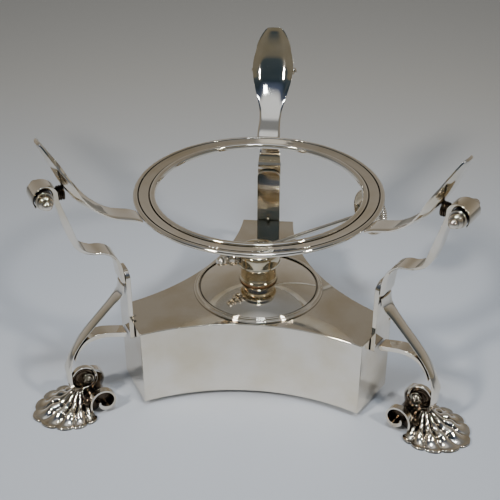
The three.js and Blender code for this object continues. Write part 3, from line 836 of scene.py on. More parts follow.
@dataclass
class Reservoir:
    """The hollow-sided, three-cornered spirit reservoir."""

    corner_reach: float = 69.4
    hollow_reach: float = 34.0
    hollow_radius: float = 112.5
    height: float = 41.2
    wall: float = 1.2
    arc_steps: int = 40
    hole_segments: int = 64

    def build(self) -> None:
        """Builds the case as one soldered shell."""
        made = bmesh.new()
        out, across = polar(self.hollow_reach + self.hollow_radius, LEG_SPACING / 2)
        half_face = across - math.sqrt(self.hollow_radius**2 - (self.corner_reach - out) ** 2)
        starts, ends = [], []
        for side in (Side.RIGHT, Side.REAR, Side.LEFT):
            turn = Matrix.Rotation(math.radians(side.value), 3, "Z")
            next_turn = Matrix.Rotation(math.radians(side.value + LEG_SPACING), 3, "Z")
            centre = turn @ Vector((out, across, 0))
            near = turn @ Vector((self.corner_reach, half_face, 0))
            far = next_turn @ Vector((self.corner_reach, -half_face, 0))
            first = made.verts.new(near)
            spun = bmesh.ops.spin(
                made, geom=[first], cent=centre, axis=(0, 0, 1),
                angle=self._sweep(near - centre, far - centre), steps=self.arc_steps,
            )
            starts.append(first)
            ends.append(spun["geom_last"][0])
        for i, end in enumerate(ends):
            made.edges.new((end, starts[(i + 1) % len(starts)]))
        rim = made.edges[:]
        bmesh.ops.contextual_create(made, geom=rim)
        upper = set(new_vertices(bmesh.ops.extrude_edge_only(made, edges=rim)))
        bmesh.ops.translate(made, verts=list(upper), vec=(0, 0, self.height))
        hole = bmesh.ops.create_circle(
            made, segments=self.hole_segments, radius=FILLER_HOLE,
            matrix=Matrix.Translation((0, 0, self.height)),
        )
        upper.update(hole["verts"])
        outlines = [edge for edge in made.edges if upper.issuperset(edge.verts)]
        bmesh.ops.triangle_fill(made, edges=outlines, use_beauty=True)
        bmesh.ops.recalc_face_normals(made, faces=made.faces)
        made.transform(Matrix.Translation((0, 0, RESERVOIR_LIFT)))
        nodes = ["reservoir_wall", "reservoir_top", "reservoir_base"]
        case = present(made, "reservoir_case", table_frame(), POLISHED, nodes, edge=0.45)
        give_wall(case, self.wall, even=True)

    @staticmethod
    def _sweep(start: Vector, end: Vector) -> float:
        """The signed angle from one arm to another, by the shorter way round."""
        angle = math.atan2(end.y, end.x) - math.atan2(start.y, start.x)
        return (angle + math.pi) % math.tau - math.pi


@dataclass
class LampDish:
    """The moulded rim and domed mirror that the burner stands on, and the filler neck inside it."""

    radius: float = 33.1
    rim_width: float = 3.4
    rim_height: float = 1.8
    dome_rise: float = 4.4
    dome_edge_share: float = 0.67
    dome_steps: int = 24
    wall: float = 0.9
    neck_outer: float = 9.1
    neck_length: float = 8.8
    rim_shares: Rows = (
        (0, 0), (0, 0.3), (0.03, 0.42), (0.1, 0.52), (0.2, 0.56), (0.36, 0.55), (0.42, 0.62),
        (0.46, 0.84), (0.53, 0.97), (0.61, 1.0), (0.69, 0.98), (0.75, 0.86), (0.775, 0.3), (0.96, 0.26),
        (0.985, 0.55),
    )

    @property
    def dome_radius(self) -> float:
        """Where the dome meets the rim."""
        return self.radius - self.rim_width

    @property
    def neck_top(self) -> float:
        """The neck's height, where the dome ends."""
        return self.dome_height(FILLER_HOLE)

    def dome_height(self, radius: float) -> float:
        """The dome's height at a radius."""
        foot = RESERVOIR_TOP + self.rim_height * self.dome_edge_share
        return foot + self.dome_rise * (1 - (radius / self.dome_radius) ** 2)

    def build(self) -> None:
        """Builds the dish and the neck."""
        rim = scaled(self.rim_shares, (-self.rim_width, self.rim_height), (self.radius, RESERVOIR_TOP))
        inside = self.dome_radius - self.wall
        dome, under = [], []
        for i in range(self.dome_steps + 1):
            outer = self.dome_radius + (FILLER_HOLE - self.dome_radius) * i / self.dome_steps
            inner = inside + (FILLER_HOLE - inside) * i / self.dome_steps
            dome.append((outer, self.dome_height(outer)))
            under.insert(0, (inner, self.dome_height(inner) - self.wall))
        dish = turned([*rim, *dome, *under, (inside, RESERVOIR_TOP)], steps=144)
        present(dish, "lamp_dish_mirror", table_frame(), POLISHED, ["lamp_dish"], edge=0.12)
        neck = pipe(NECK_BORE, self.neck_outer, self.neck_top - self.neck_length, self.neck_top)
        present(neck, "filler_neck", table_frame(), BRASS, ["reservoir_neck"], edge=0.15)


@dataclass
class SupportRing:
    """The moulded ring that the kettle stands in."""

    outer: float = 61.0
    inner: float = 50.4
    top: float = 101.0
    depth: float = 2.4
    shares: Rows = (
        (0, 0), (0, 0.8), (0.02, 0.93), (0.07, 1.02), (0.14, 1.05), (0.2, 0.98), (0.23, 0.85),
        (0.245, 0.35), (0.29, 0.35), (0.3, 0.68), (0.38, 0.74), (0.5, 0.76), (0.62, 0.84), (0.73, 0.92),
        (0.745, 0.42), (0.785, 0.42), (0.795, 0.93), (0.82, 0.99), (0.87, 1.0), (0.92, 0.98),
        (0.96, 0.9), (0.99, 0.78), (1, 0.64), (0.995, 0.48), (0.97, 0.3), (0.91, 0.1), (0.85, 0),
    )

    def build(self) -> None:
        """Builds the ring."""
        size = (self.outer - self.inner, self.depth)
        rows = scaled(self.shares, size, (self.inner, self.top - self.depth))
        made = turned([(radius, min(height, self.top)) for radius, height in rows], steps=192)
        present(
            made, "kettle_ring", table_frame(), POLISHED, ["support_ring"], edge=0.08, edge_angle=50
        )


@dataclass
class Burner:
    """The lift-out burner: washer, stem, collar, bowl, wick tube, wick and gland."""

    seat: float
    washer_height: float = 0.7
    washer_rim: float = 1.5
    stem_outer: float = 7.5
    stem_bore: float = 6.3
    stem_below: float = 12.8
    collar_radius: float = 9.6
    collar_height: float = 9.2
    bowl_radius: float = 11.1
    bowl_height: float = 8.2
    bowl_wall: float = 0.8
    mouth_share: float = 0.6
    body_steps: int = 128
    tube_half_thickness: float = 1.55
    tube_half_width: float = 4.8
    tube_wall: float = 0.5
    tube_sink: float = 3.4
    tube_rise: float = 1.0
    wick_half_thickness: float = 0.75
    wick_half_width: float = 4.0
    wick_foot: float = 10.5
    wick_rise: float = 0.8
    wick_rows: int = 40
    weave_waves: Row = (5.3, 2.9)
    weave_swell: float = 0.06
    fray_waves: Row = (7.1, 3.3)
    fray_rise: float = 0.18
    fray_depth: float = 0.1
    azimuth: float = 37.5
    spindle_offset: float = 4.05
    spindle_height: float = 64.0
    gland_radius: float = 4.2
    gland_length: float = 5.2
    gland_flutes: int = 24
    gland_cut: Row = (0.3, 0.04, 0.36)
    collar_shares: Rows = (
        (0.9, 0), (0.97, 0.01), (1, 0.035), (1, 0.085), (0.975, 0.12), (0.95, 0.15), (0.938, 0.2),
        (0.93, 0.5), (0.93, 0.84), (0.94, 0.88), (0.965, 0.91), (0.97, 0.95), (0.96, 1),
    )
    bowl_shares: Rows = (
        (0.9, 0), (0.97, 0.01), (1, 0.05), (1.0, 0.1), (0.985, 0.14), (0.985, 0.2), (0.99, 0.45),
        (0.99, 0.6), (0.985, 0.7), (0.965, 0.8), (0.93, 0.88), (0.87, 0.945), (0.8, 0.98), (0.7, 1.0),
    )
    bowl_inner_shares: Rows = ((0.79, 0.87), (0.88, 0.8), (0.915, 0.71), (0.927, 0.6))
    gland_shares: Rows = (
        (0.86, 0), (0.97, 0.03), (1, 0.08), (1, 0.3), (0.97, 0.36), (0.84, 0.4), (0.84, 0.44),
        (0.96, 0.48), (0.98, 0.55), (0.98, 0.66), (0.92, 0.73), (0.78, 0.78), (0.7, 0.9), (0.62, 1),
    )

    @property
    def collar_foot(self) -> float:
        """The height of the collar's foot."""
        return self.seat + self.washer_height

    @property
    def bowl_foot(self) -> float:
        """The height of the bowl's foot."""
        return self.collar_foot + self.collar_height

    @property
    def turned_frame(self) -> Matrix:
        """The frame whose X runs along the spindle's direction."""
        return table_frame(self.azimuth)

    @property
    def spindle_frame(self) -> Matrix:
        """The frame whose Z runs along the spindle, outwards to the wheel."""
        shift = Matrix.Translation((0, self.spindle_offset, self.spindle_height))
        return self.turned_frame @ shift @ Matrix.Rotation(QUARTER_TURN, 4, "Y")

    def build(self) -> None:
        """Builds the burner's pieces."""
        washer = pipe(NECK_BORE, NECK_BORE + self.washer_rim, self.seat, self.collar_foot)
        stem = pipe(self.stem_bore, self.stem_outer, self.seat - self.stem_below, self.bowl_foot)
        self._add(washer, "washer", CORK, "burner_washer", 0.1)
        self._add(stem, "plug_stem", BRASS, "burner_stem", 0.2)
        self._collar()
        self._bowl()
        self._wick()
        start = -self.bowl_radius
        gland = fluted_knob(
            self.gland_shares, self.gland_radius, self.gland_length, start, self.gland_flutes,
            self.gland_cut,
        )
        present(
            gland, "gland", self.spindle_frame, OXIDISED, ["spindle_gland"], Body.BURNER, edge=0.08
        )

    @staticmethod
    def _add(made: Mesh, name: str, finish: Finish, node: str, edge: float) -> None:
        """Adds a piece that is turned about the burner's axis."""
        present(made, name, table_frame(), finish, [node], Body.BURNER, edge=edge)

    def _collar(self) -> None:
        """Builds the collar between washer and bowl."""
        size = (self.collar_radius, self.collar_height)
        outer = scaled(self.collar_shares, size, (0, self.collar_foot))
        rows = [(NECK_BORE, self.collar_foot), *outer, (NECK_BORE, self.bowl_foot)]
        self._add(turned(rows, self.body_steps), "collar", GILT, "burner_collar", 0.1)

    def _bowl(self) -> None:
        """Builds the bowl with its in-turned mouth."""
        size, start = (self.bowl_radius, self.bowl_height), (0, self.bowl_foot)
        mouth = self.bowl_radius * self.mouth_share
        top, floor = self.bowl_foot + self.bowl_height, self.bowl_foot + self.bowl_wall
        rows = [
            (0, self.bowl_foot), *scaled(self.bowl_shares, size, start), (mouth, top),
            (mouth, top - self.bowl_wall), *scaled(self.bowl_inner_shares, size, start),
            (self.bowl_radius - self.bowl_wall, floor), (0, floor),
        ]
        self._add(turned(rows, self.body_steps), "bowl", GILT, "burner_bowl", 0.12)

    def _wick(self) -> None:
        """Builds the wick tube and the braided wick."""
        foot = self.bowl_foot - self.tube_sink
        top = self.bowl_foot + self.bowl_height + self.tube_rise
        outline = stadium(self.tube_half_thickness, self.tube_half_width)
        tube = raised(outline, top - foot, walls_only=True)
        tube.transform(Matrix.Translation((0, 0, foot)))
        holder = present(
            tube, "wick_holder", self.turned_frame, BRASS, ["wick_tube"], Body.BURNER, edge=0.1
        )
        give_wall(holder, self.tube_wall)
        braid = stadium(self.wick_half_thickness, self.wick_half_width, segments=40)
        length = top + self.wick_rise - self.wick_foot
        for _ in range(self.wick_rows):
            level = [face for face in braid.faces if abs(face.normal.z) > LEVEL_NORMAL]
            upper = max(level, key=lambda face: face.calc_center_median().z)
            grown = bmesh.ops.extrude_discrete_faces(braid, faces=[upper])["faces"]
            bmesh.ops.translate(braid, verts=grown[0].verts[:], vec=(0, 0, length / self.wick_rows))
        bmesh.ops.recalc_face_normals(braid, faces=braid.faces)
        weave, fray = self.weave_waves, self.fray_waves
        for vertex in braid.verts:
            ripple = math.sin(vertex.co.x * weave[0]) * math.cos(vertex.co.z * weave[1])
            vertex.co.y *= 1 + self.weave_swell * ripple
            if vertex.co.z > length - self.fray_depth:
                phase = vertex.co.x * fray[0] + vertex.co.y * fray[1]
                vertex.co.z += self.fray_rise * math.sin(phase)
        braid.transform(Matrix.Translation((0, 0, self.wick_foot)))
        present(braid, "flat_wick", self.turned_frame, WICK_COTTON, ["wick"], Body.WICK, edge=0)


@dataclass
class Winder:
    """The wick winder: spindle, knob and milled wheel."""

    place: Matrix
    rod_radius: float = 1.2
    rod_chamfer: float = 0.2
    rod_end_share: float = 0.7
    knob_start: float = 16.6
    knob_length: float = 5.2
    knob_radius: float = 2.6
    knob_flutes: int = 18
    knob_cut: Row = (0.25, 0.06, 0.44)
    wheel_reach: float = 73.4
    wheel_thickness: float = 2.8
    knurls: int = 66
    steps_per_knurl: int = 6
    knurl_depth: float = 0.38
    knurl_start: float = 12.9
    knob_shares: Rows = (
        (0.8, 0), (0.95, 0.04), (1, 0.12), (1, 0.4), (0.94, 0.48), (0.74, 0.54), (0.74, 0.58),
        (0.9, 0.62), (0.95, 0.7), (0.9, 0.82), (0.76, 0.92), (0.5, 0.985), (0.2, 1.0),
    )
    wheel_face: Rows = (
        (13, 1.12), (12.65, 1.4), (11.6, 1.4), (11.3, 0.9), (6.78, 0.825), (3.5, 0.9), (3.2, 1.2),
        (2.88, 1.4), (0, 1.4),
    )
    wheel_hub: Rows = ((0, -3.6), (2.88, -3.6), (3.2, -3.2))

    def build(self) -> None:
        """Builds the spindle, its knob and the wheel, with the hub on the wheel's inner side."""
        end = self.wheel_reach + self.wheel_thickness
        start = -self.knob_start - self.knob_length / 2
        rod = turned([
            (0, start), (self.rod_radius, start), (self.rod_radius, end - self.rod_chamfer),
            (self.rod_radius * self.rod_end_share, end), (0, end),
        ], steps=40)
        self._add(rod, "winder_rod", POLISHED, "wick_spindle", 0.1)
        knob = fluted_knob(
            self.knob_shares, self.knob_radius, self.knob_length, -self.knob_start, self.knob_flutes,
            self.knob_cut,
        )
        self._add(knob, "rod_knob", OXIDISED, "spindle_knob", 0.08)
        inner = [(radius, -height) for radius, height in reversed(self.wheel_face[:-2])]
        wheel = turned([*self.wheel_hub, *inner, *self.wheel_face], self.knurls * self.steps_per_knurl)
        fluted(wheel, self.knurls, self.knurl_depth, (-math.inf, math.inf), self.knurl_start)
        wheel.transform(Matrix.Translation((0, 0, self.wheel_reach + self.wheel_thickness / 2)))
        self._add(wheel, "milled_wheel", POLISHED, "wick_wheel", 0.06, 60)

    def _add(
        self, made: Mesh, name: str, finish: Finish, node: str, edge: float, edge_angle: float = 38.0
    ) -> None:
        """Adds a piece that turns with the spindle."""
        present(
            made, name, self.place, finish, [node], Body.WINDER, edge=edge, edge_angle=edge_angle
        )


@dataclass
class KettleArm:
    """An arm from the ring, which ends in a leaf bowed like a spoon."""

    thickness: float = 1.3
    crown: float = 0.5
    rows: Rows = (
        (61.3, 100.6, 11.9, 0.1), (64.95, 102.48, 12.0, 0.12), (72.73, 105.07, 11.6, 0),
        (76.8, 107.11, 11.9, 0.1), (79.97, 109.34, 12.8, 0.4), (83.91, 112.44, 15.2, 1.2),
        (87.56, 116.13, 18.2, 2.2), (90.93, 120.32, 20.7, 3.05), (93.06, 124.1, 21.85, 3.45),
        (94.85, 127.41, 22.3, 3.6), (96.76, 131.17, 21.4, 3.3), (98.51, 134.91, 19.6, 2.7),
        (100.0, 138.3, 18.2, 2.2), (101.3, 141.2, 15.8, 1.8), (102.4, 143.59, 13.1, 1.5),
        (103.19, 145.3, 10.6, 1.3), (103.6, 146.2, 8.9, 1.0), (103.85, 146.72, 7.2, 0.7),
        (103.98, 146.97, 5.4, 0.4),
    )

    def build(self, side: Side) -> None:
        """Builds one leg's arm.

        Args:
            side: the leg.
        """
        stations = [
            (reach, height, width, self.thickness, self.crown, bow)
            for reach, height, width, bow in smooth_rows(self.rows, steps=6)
        ]
        made = strap(stations, flat_face, strips=20)
        present_on_leg(made, side, "arm_leaf", "arm", POLISHED, edge=0.18)


@dataclass
class Knuckle:
    """The scroll roll across the leg's head and the lug that ties the arm to it."""

    lug_drop: float = 0.6
    lug_radius: float = 3.5
    lug_start: float = 95.3
    lug_length: float = 3.2
    roll_rows: Rows = (
        (4.0, 0), (4.0, 6.1), (4.1, 6.3), (4.15, 6.5), (4.0, 6.7), (3.1, 6.8), (2.8, 6.9),
        (2.8, 7.1), (3.1, 7.4), (3.3, 7.9), (3.35, 8.5), (3.2, 9.1), (2.8, 9.6), (2.1, 9.9),
        (1.6, 9.98), (1.6, 10.1), (1.9, 10.3), (2.1, 10.7), (2.15, 11.2), (2.05, 11.7),
        (1.75, 12.2), (1.2, 12.6), (0.6, 12.8), (0, 12.85),
    )
    lug_shares: Rows = (
        (0.8, 0), (0.97, 0.06), (1, 0.16), (0.95, 0.26), (0.84, 0.34), (0.95, 0.42), (1, 0.5),
        (0.95, 0.58), (0.84, 0.66), (0.94, 0.74), (0.96, 0.84), (0.9, 0.94), (0.76, 1),
    )

    def build(self, side: Side) -> None:
        """Builds one leg's roll and lug.

        Args:
            side: the leg.
        """
        roll = turned(both_ways(self.roll_rows), steps=64)
        present_on_leg(roll, side, "roll", "scroll_roll", OXIDISED, laid(*SCROLL_CENTRE), edge=0.05)
        rows = scaled(self.lug_shares, (self.lug_radius, self.lug_length), (0, self.lug_start))
        lug = turned([(0, self.lug_start), *rows, (0, self.lug_start + self.lug_length)], steps=48)
        outwards = laid(0, SCROLL_CENTRE[1] - self.lug_drop, "Y")
        present_on_leg(lug, side, "knuckle", "lug", BLACKENED_AND_SHADED, outwards, edge=0.05)


@dataclass
class LegStraps:
    """The strapwork of a leg: upper strap, plate, pin, lower strap with its volute, and brace."""

    seat: float = 72.3
    curve_steps: int = 7
    roll_radius: float = 4.0
    neck_outer: float = 101.0
    neck_thickness: float = 2.5
    wrap_start: float = -35.0
    wrap_end: float = 165.0
    wrap_steps: int = 14
    wrap_width_share: float = 0.96
    wrap_thickness: float = 0.8
    upper_width: float = 12.8
    upper_thickness: float = 1.4
    upper_lap: float = 5.6
    upper_crown: float = 0.6
    plate_inner: float = 69.7
    plate_thickness: float = 2.3
    plate_width: float = 13.0
    plate_top: float = 75.4
    plate_bottom: float = 35.5
    plate_shoulder: float = 1.5
    plate_crown: float = 2.4
    plate_corner: float = 1.2
    pin_radius: float = 0.6
    pin_length: float = 2.9
    pin_rise: float = 1.9
    pin_chamfer: float = 0.2
    pin_end_share: float = 0.8
    ankle_reach: float = 103.8
    ankle_height: float = 25.0
    lower_start: float = 67.4
    lower_thickness: float = 2.2
    lower_width: float = 9.4
    domed_rows: int = 8
    dome_crown: float = 0.62
    volute_crown: float = 0.12
    volute_centre: Row = (96.2, 16.6)
    volute_radius: float = 7.5
    volute_first: float = -8.0
    volute_step: float = 40.0
    brace_foot: float = 36.9
    brace_rise: float = 5.3
    brace_width: float = 7.0
    brace_thickness: float = 3.0
    brace_crown: float = 0.5
    upper_shares: Rows = (
        (0.99, 0.95, 0.55, 1.6), (0.945, 0.85, 0.54, 1.65), (0.875, 0.665, 0.55, 2.3),
        (0.775, 0.495, 0.6, 2.1), (0.69, 0.42, 0.68, 1.6), (0.59, 0.38, 0.76, 1.3),
        (0.43, 0.345, 0.78, 1), (0.285, 0.33, 0.8, 1), (0.16, 0.295, 0.85, 1),
        (0.075, 0.235, 0.92, 1.1), (0.03, 0.14, 1, 1.2), (0, 0, 1, 1),
    )
    lower_shares: Rows = (
        (0, 1, 1, 0.55), (0.04, 0.88, 0.92, 0.55), (0.18, 0.77, 0.76, 0.5), (0.375, 0.63, 0.7, 0.45),
        (0.575, 0.49, 0.7, 0.45), (0.74, 0.365, 0.68, 0.45), (0.87, 0.235, 0.66, 0.52),
        (0.965, 0.105, 0.68, 0.8), (1, 0, 0.68, 0.95), (1.003, -0.1, 0.64, 0.95),
    )
    volute_shares: Rows = (
        (1, 0.95, 0.57), (1, 1.1, 0.5), (1, 1.25, 0.45), (1, 1.0, 0.38), (0.985, 0.7, 0.32),
        (0.97, 0.5, 0.28), (0.96, 0.4, 0.26), (0.92, 0.35, 0.26), (0.84, 0.3, 0.26),
    )
    brace_shares: Rows = (
        (0.854, -1.302, 1, 0.17), (0.803, -0.698, 1, 0.33), (0.727, -0.113, 1, 0.53),
        (0.632, 0.283, 1, 0.8), (0.514, 0.453, 1, 0.97), (0.387, 0.472, 1, 1), (0.254, 0.321, 1, 0.97),
        (0.117, 0.094, 1, 0.97), (0.041, -0.057, 1, 1),
    )
    heart_radius: float = 6.3
    heart_shift: Row = (-0.1, 0.2)
    heart_rows: Rows = (
        (1, 0), (1, 0.7), (0.93, 0.62), (0.86, 0.42), (0.79, 0.62), (0.72, 0.7), (0.65, 0.5),
        (0.58, 0.34), (0.5, 0.5), (0.42, 0.55), (0.2, 0.5), (0, 0.5),
    )
    eye_radius: float = 2.8
    eye_shift: Row = (-2.6, -0.2)
    eye_rows: Rows = (
        (1, 0.3), (1.02, 0.8), (1, 1.3), (0.96, 1.7), (0.89, 2.0), (0.8, 2.2), (0.69, 2.35),
        (0.55, 2.45), (0.38, 2.52), (0.2, 2.56), (0, 2.58),
    )
    eye_groove: float = 1.2
    eye_groove_width: float = 0.32
    eye_groove_start: float = 0.5
    eye_groove_pitch: float = 1.25
    eye_groove_laps: int = 3

    def build(self, side: Side) -> None:
        """Builds one leg's straps.

        Args:
            side: the leg.
        """
        self._upper(side)
        self._plate(side)
        self._lower(side)
        self._volute_core(side)
        size = (
            self.ankle_reach - self.seat, self.brace_rise, self.brace_width, self.brace_thickness,
        )
        brace = strap_rows(self.brace_shares, (self.seat, self.brace_foot), size, self.brace_crown)
        self._add_strap(brace, side, "brace", "leg_brace")

    def _add_strap(
        self, rows: Rows, side: Side, name: str, node: str, face: Callable[[float], float] = flat_face,
        lead: Rows = (),
    ) -> None:
        """Adds a strap through rows, with a lead before them that is already smooth."""
        made = strap([*lead, *smooth_rows(rows, self.curve_steps)], face)
        present_on_leg(made, side, name, node, POLISHED)

    def _upper(self, side: Side) -> None:
        """Builds the upper strap, which wraps over the roll and bends down to the plate.

        Args:
            side: the leg.
        """
        wrap = []
        for i in range(self.wrap_steps + 1):
            along = i / self.wrap_steps
            angle = self.wrap_start + along * (self.wrap_end - self.wrap_start)
            spot = polar(self.roll_radius + FIT_GAP, angle, SCROLL_CENTRE)
            share = self.wrap_width_share + along * (self.upper_shares[0][2] - self.wrap_width_share)
            thickness = self.wrap_thickness + along**2 * (self.neck_thickness - self.wrap_thickness)
            wrap.append((*spot, self.upper_width * share, thickness, self.upper_crown))
        foot = (self.seat + self.upper_thickness, self.plate_top - self.upper_lap)
        size = (
            self.neck_outer - foot[0], SCROLL_CENTRE[1] - foot[1], self.upper_width,
            self.upper_thickness,
        )
        rows = strap_rows(self.upper_shares, foot, size, self.upper_crown)
        self._add_strap(rows, side, "upper_strap", "upper_leg", lead=wrap)

    def _plate(self, side: Side) -> None:
        """Builds the plate that the straps are soldered to, and the pin over the reservoir.

        Args:
            side: the leg.
        """
        half = self.plate_width / 2
        shoulder, crown = self.plate_bottom + self.plate_shoulder, self.plate_top - self.plate_crown
        rows = [
            (0, self.plate_bottom), (half, shoulder), (half, crown), (half / 2, self.plate_top),
            (-half / 2, self.plate_top), (-half, crown), (-half, shoulder),
        ]
        made = bmesh.new()
        made.faces.new([made.verts.new((y, z, 0)) for y, z in rows])
        bmesh.ops.bevel(
            made, geom=made.verts[:], offset=self.plate_corner, segments=4, profile=0.5,
            affect="VERTICES", material=-1,
        )
        raised(made, self.plate_thickness)
        upright = Matrix(((0, 0, 1, self.plate_inner), (1, 0, 0, 0), (0, 1, 0, 0), (0, 0, 0, 1)))
        present_on_leg(made, side, "plate", "leg_plate", POLISHED, upright, edge=0.25)
        pin = turned([
            (0, -self.pin_length), (self.pin_radius * self.pin_end_share, -self.pin_length),
            (self.pin_radius, self.pin_chamfer - self.pin_length), (self.pin_radius, 0), (0, 0),
        ], steps=24)
        inwards = laid(self.plate_inner - FIT_GAP, RESERVOIR_TOP + self.pin_rise, "Y")
        present_on_leg(pin, side, "pin", "lock_pin", OXIDISED, inwards, edge=0.05)

    def _lower(self, side: Side) -> None:
        """Builds the lower strap down to the ankle and round the volute.

        Args:
            side: the leg.
        """
        start = (self.seat + self.lower_shares[0][3] * self.lower_thickness, self.ankle_height)
        size = (
            self.ankle_reach - start[0], self.lower_start - start[1], self.lower_width,
            self.lower_thickness,
        )
        rows = strap_rows(self.lower_shares[: self.domed_rows], start, size, self.dome_crown)
        rows += strap_rows(self.lower_shares[self.domed_rows :], start, size, self.volute_crown)
        for i, (radius, thickness, width) in enumerate(self.volute_shares):
            angle = self.volute_first - i * self.volute_step
            spot = polar(radius * self.volute_radius, angle, self.volute_centre)
            rows.append((*spot, width * size[2], thickness * size[3], self.volute_crown))
        self._add_strap(rows, side, "lower_strap", "lower_leg", domed_face)

    def _volute_core(self, side: Side) -> None:
        """Builds the recessed heart of the volute and the carved curl of its eye.

        Args:
            side: the leg.
        """
        heart = self._two_faced(self.heart_rows, self.heart_radius)
        eye = self._two_faced(self.eye_rows, self.eye_radius)
        for vertex in eye.verts:
            radius = math.hypot(vertex.co.x, vertex.co.y)
            turn = math.atan2(vertex.co.y, -vertex.co.x) / math.tau % 1
            depth = 0.0
            for lap in range(self.eye_groove_laps):
                groove = self.eye_groove_start + self.eye_groove_pitch * (turn + lap)
                if groove < self.eye_radius:
                    depth += math.exp(-(((radius - groove) / self.eye_groove_width) ** 2))
            vertex.co.z -= math.copysign(min(depth, 1.0) * self.eye_groove, vertex.co.z)
        for made, (out, up), name, finish in (
            (heart, self.heart_shift, "volute_heart", BLACKENED_AND_SHADED),
            (eye, self.eye_shift, "volute_eye", OXIDISED),
        ):
            across = laid(self.volute_centre[0] + out, self.volute_centre[1] + up)
            present_on_leg(made, side, name, "", finish, across, edge=0)

    @staticmethod
    def _two_faced(rows: Rows, radius: float) -> Mesh:
        """Turns a piece with the same face on both sides, from shares of its radius and depths."""
        fine = [(max(share, 0.0) * radius, along) for share, along in smooth_rows(rows, steps=4)]
        return turned(both_ways(fine))


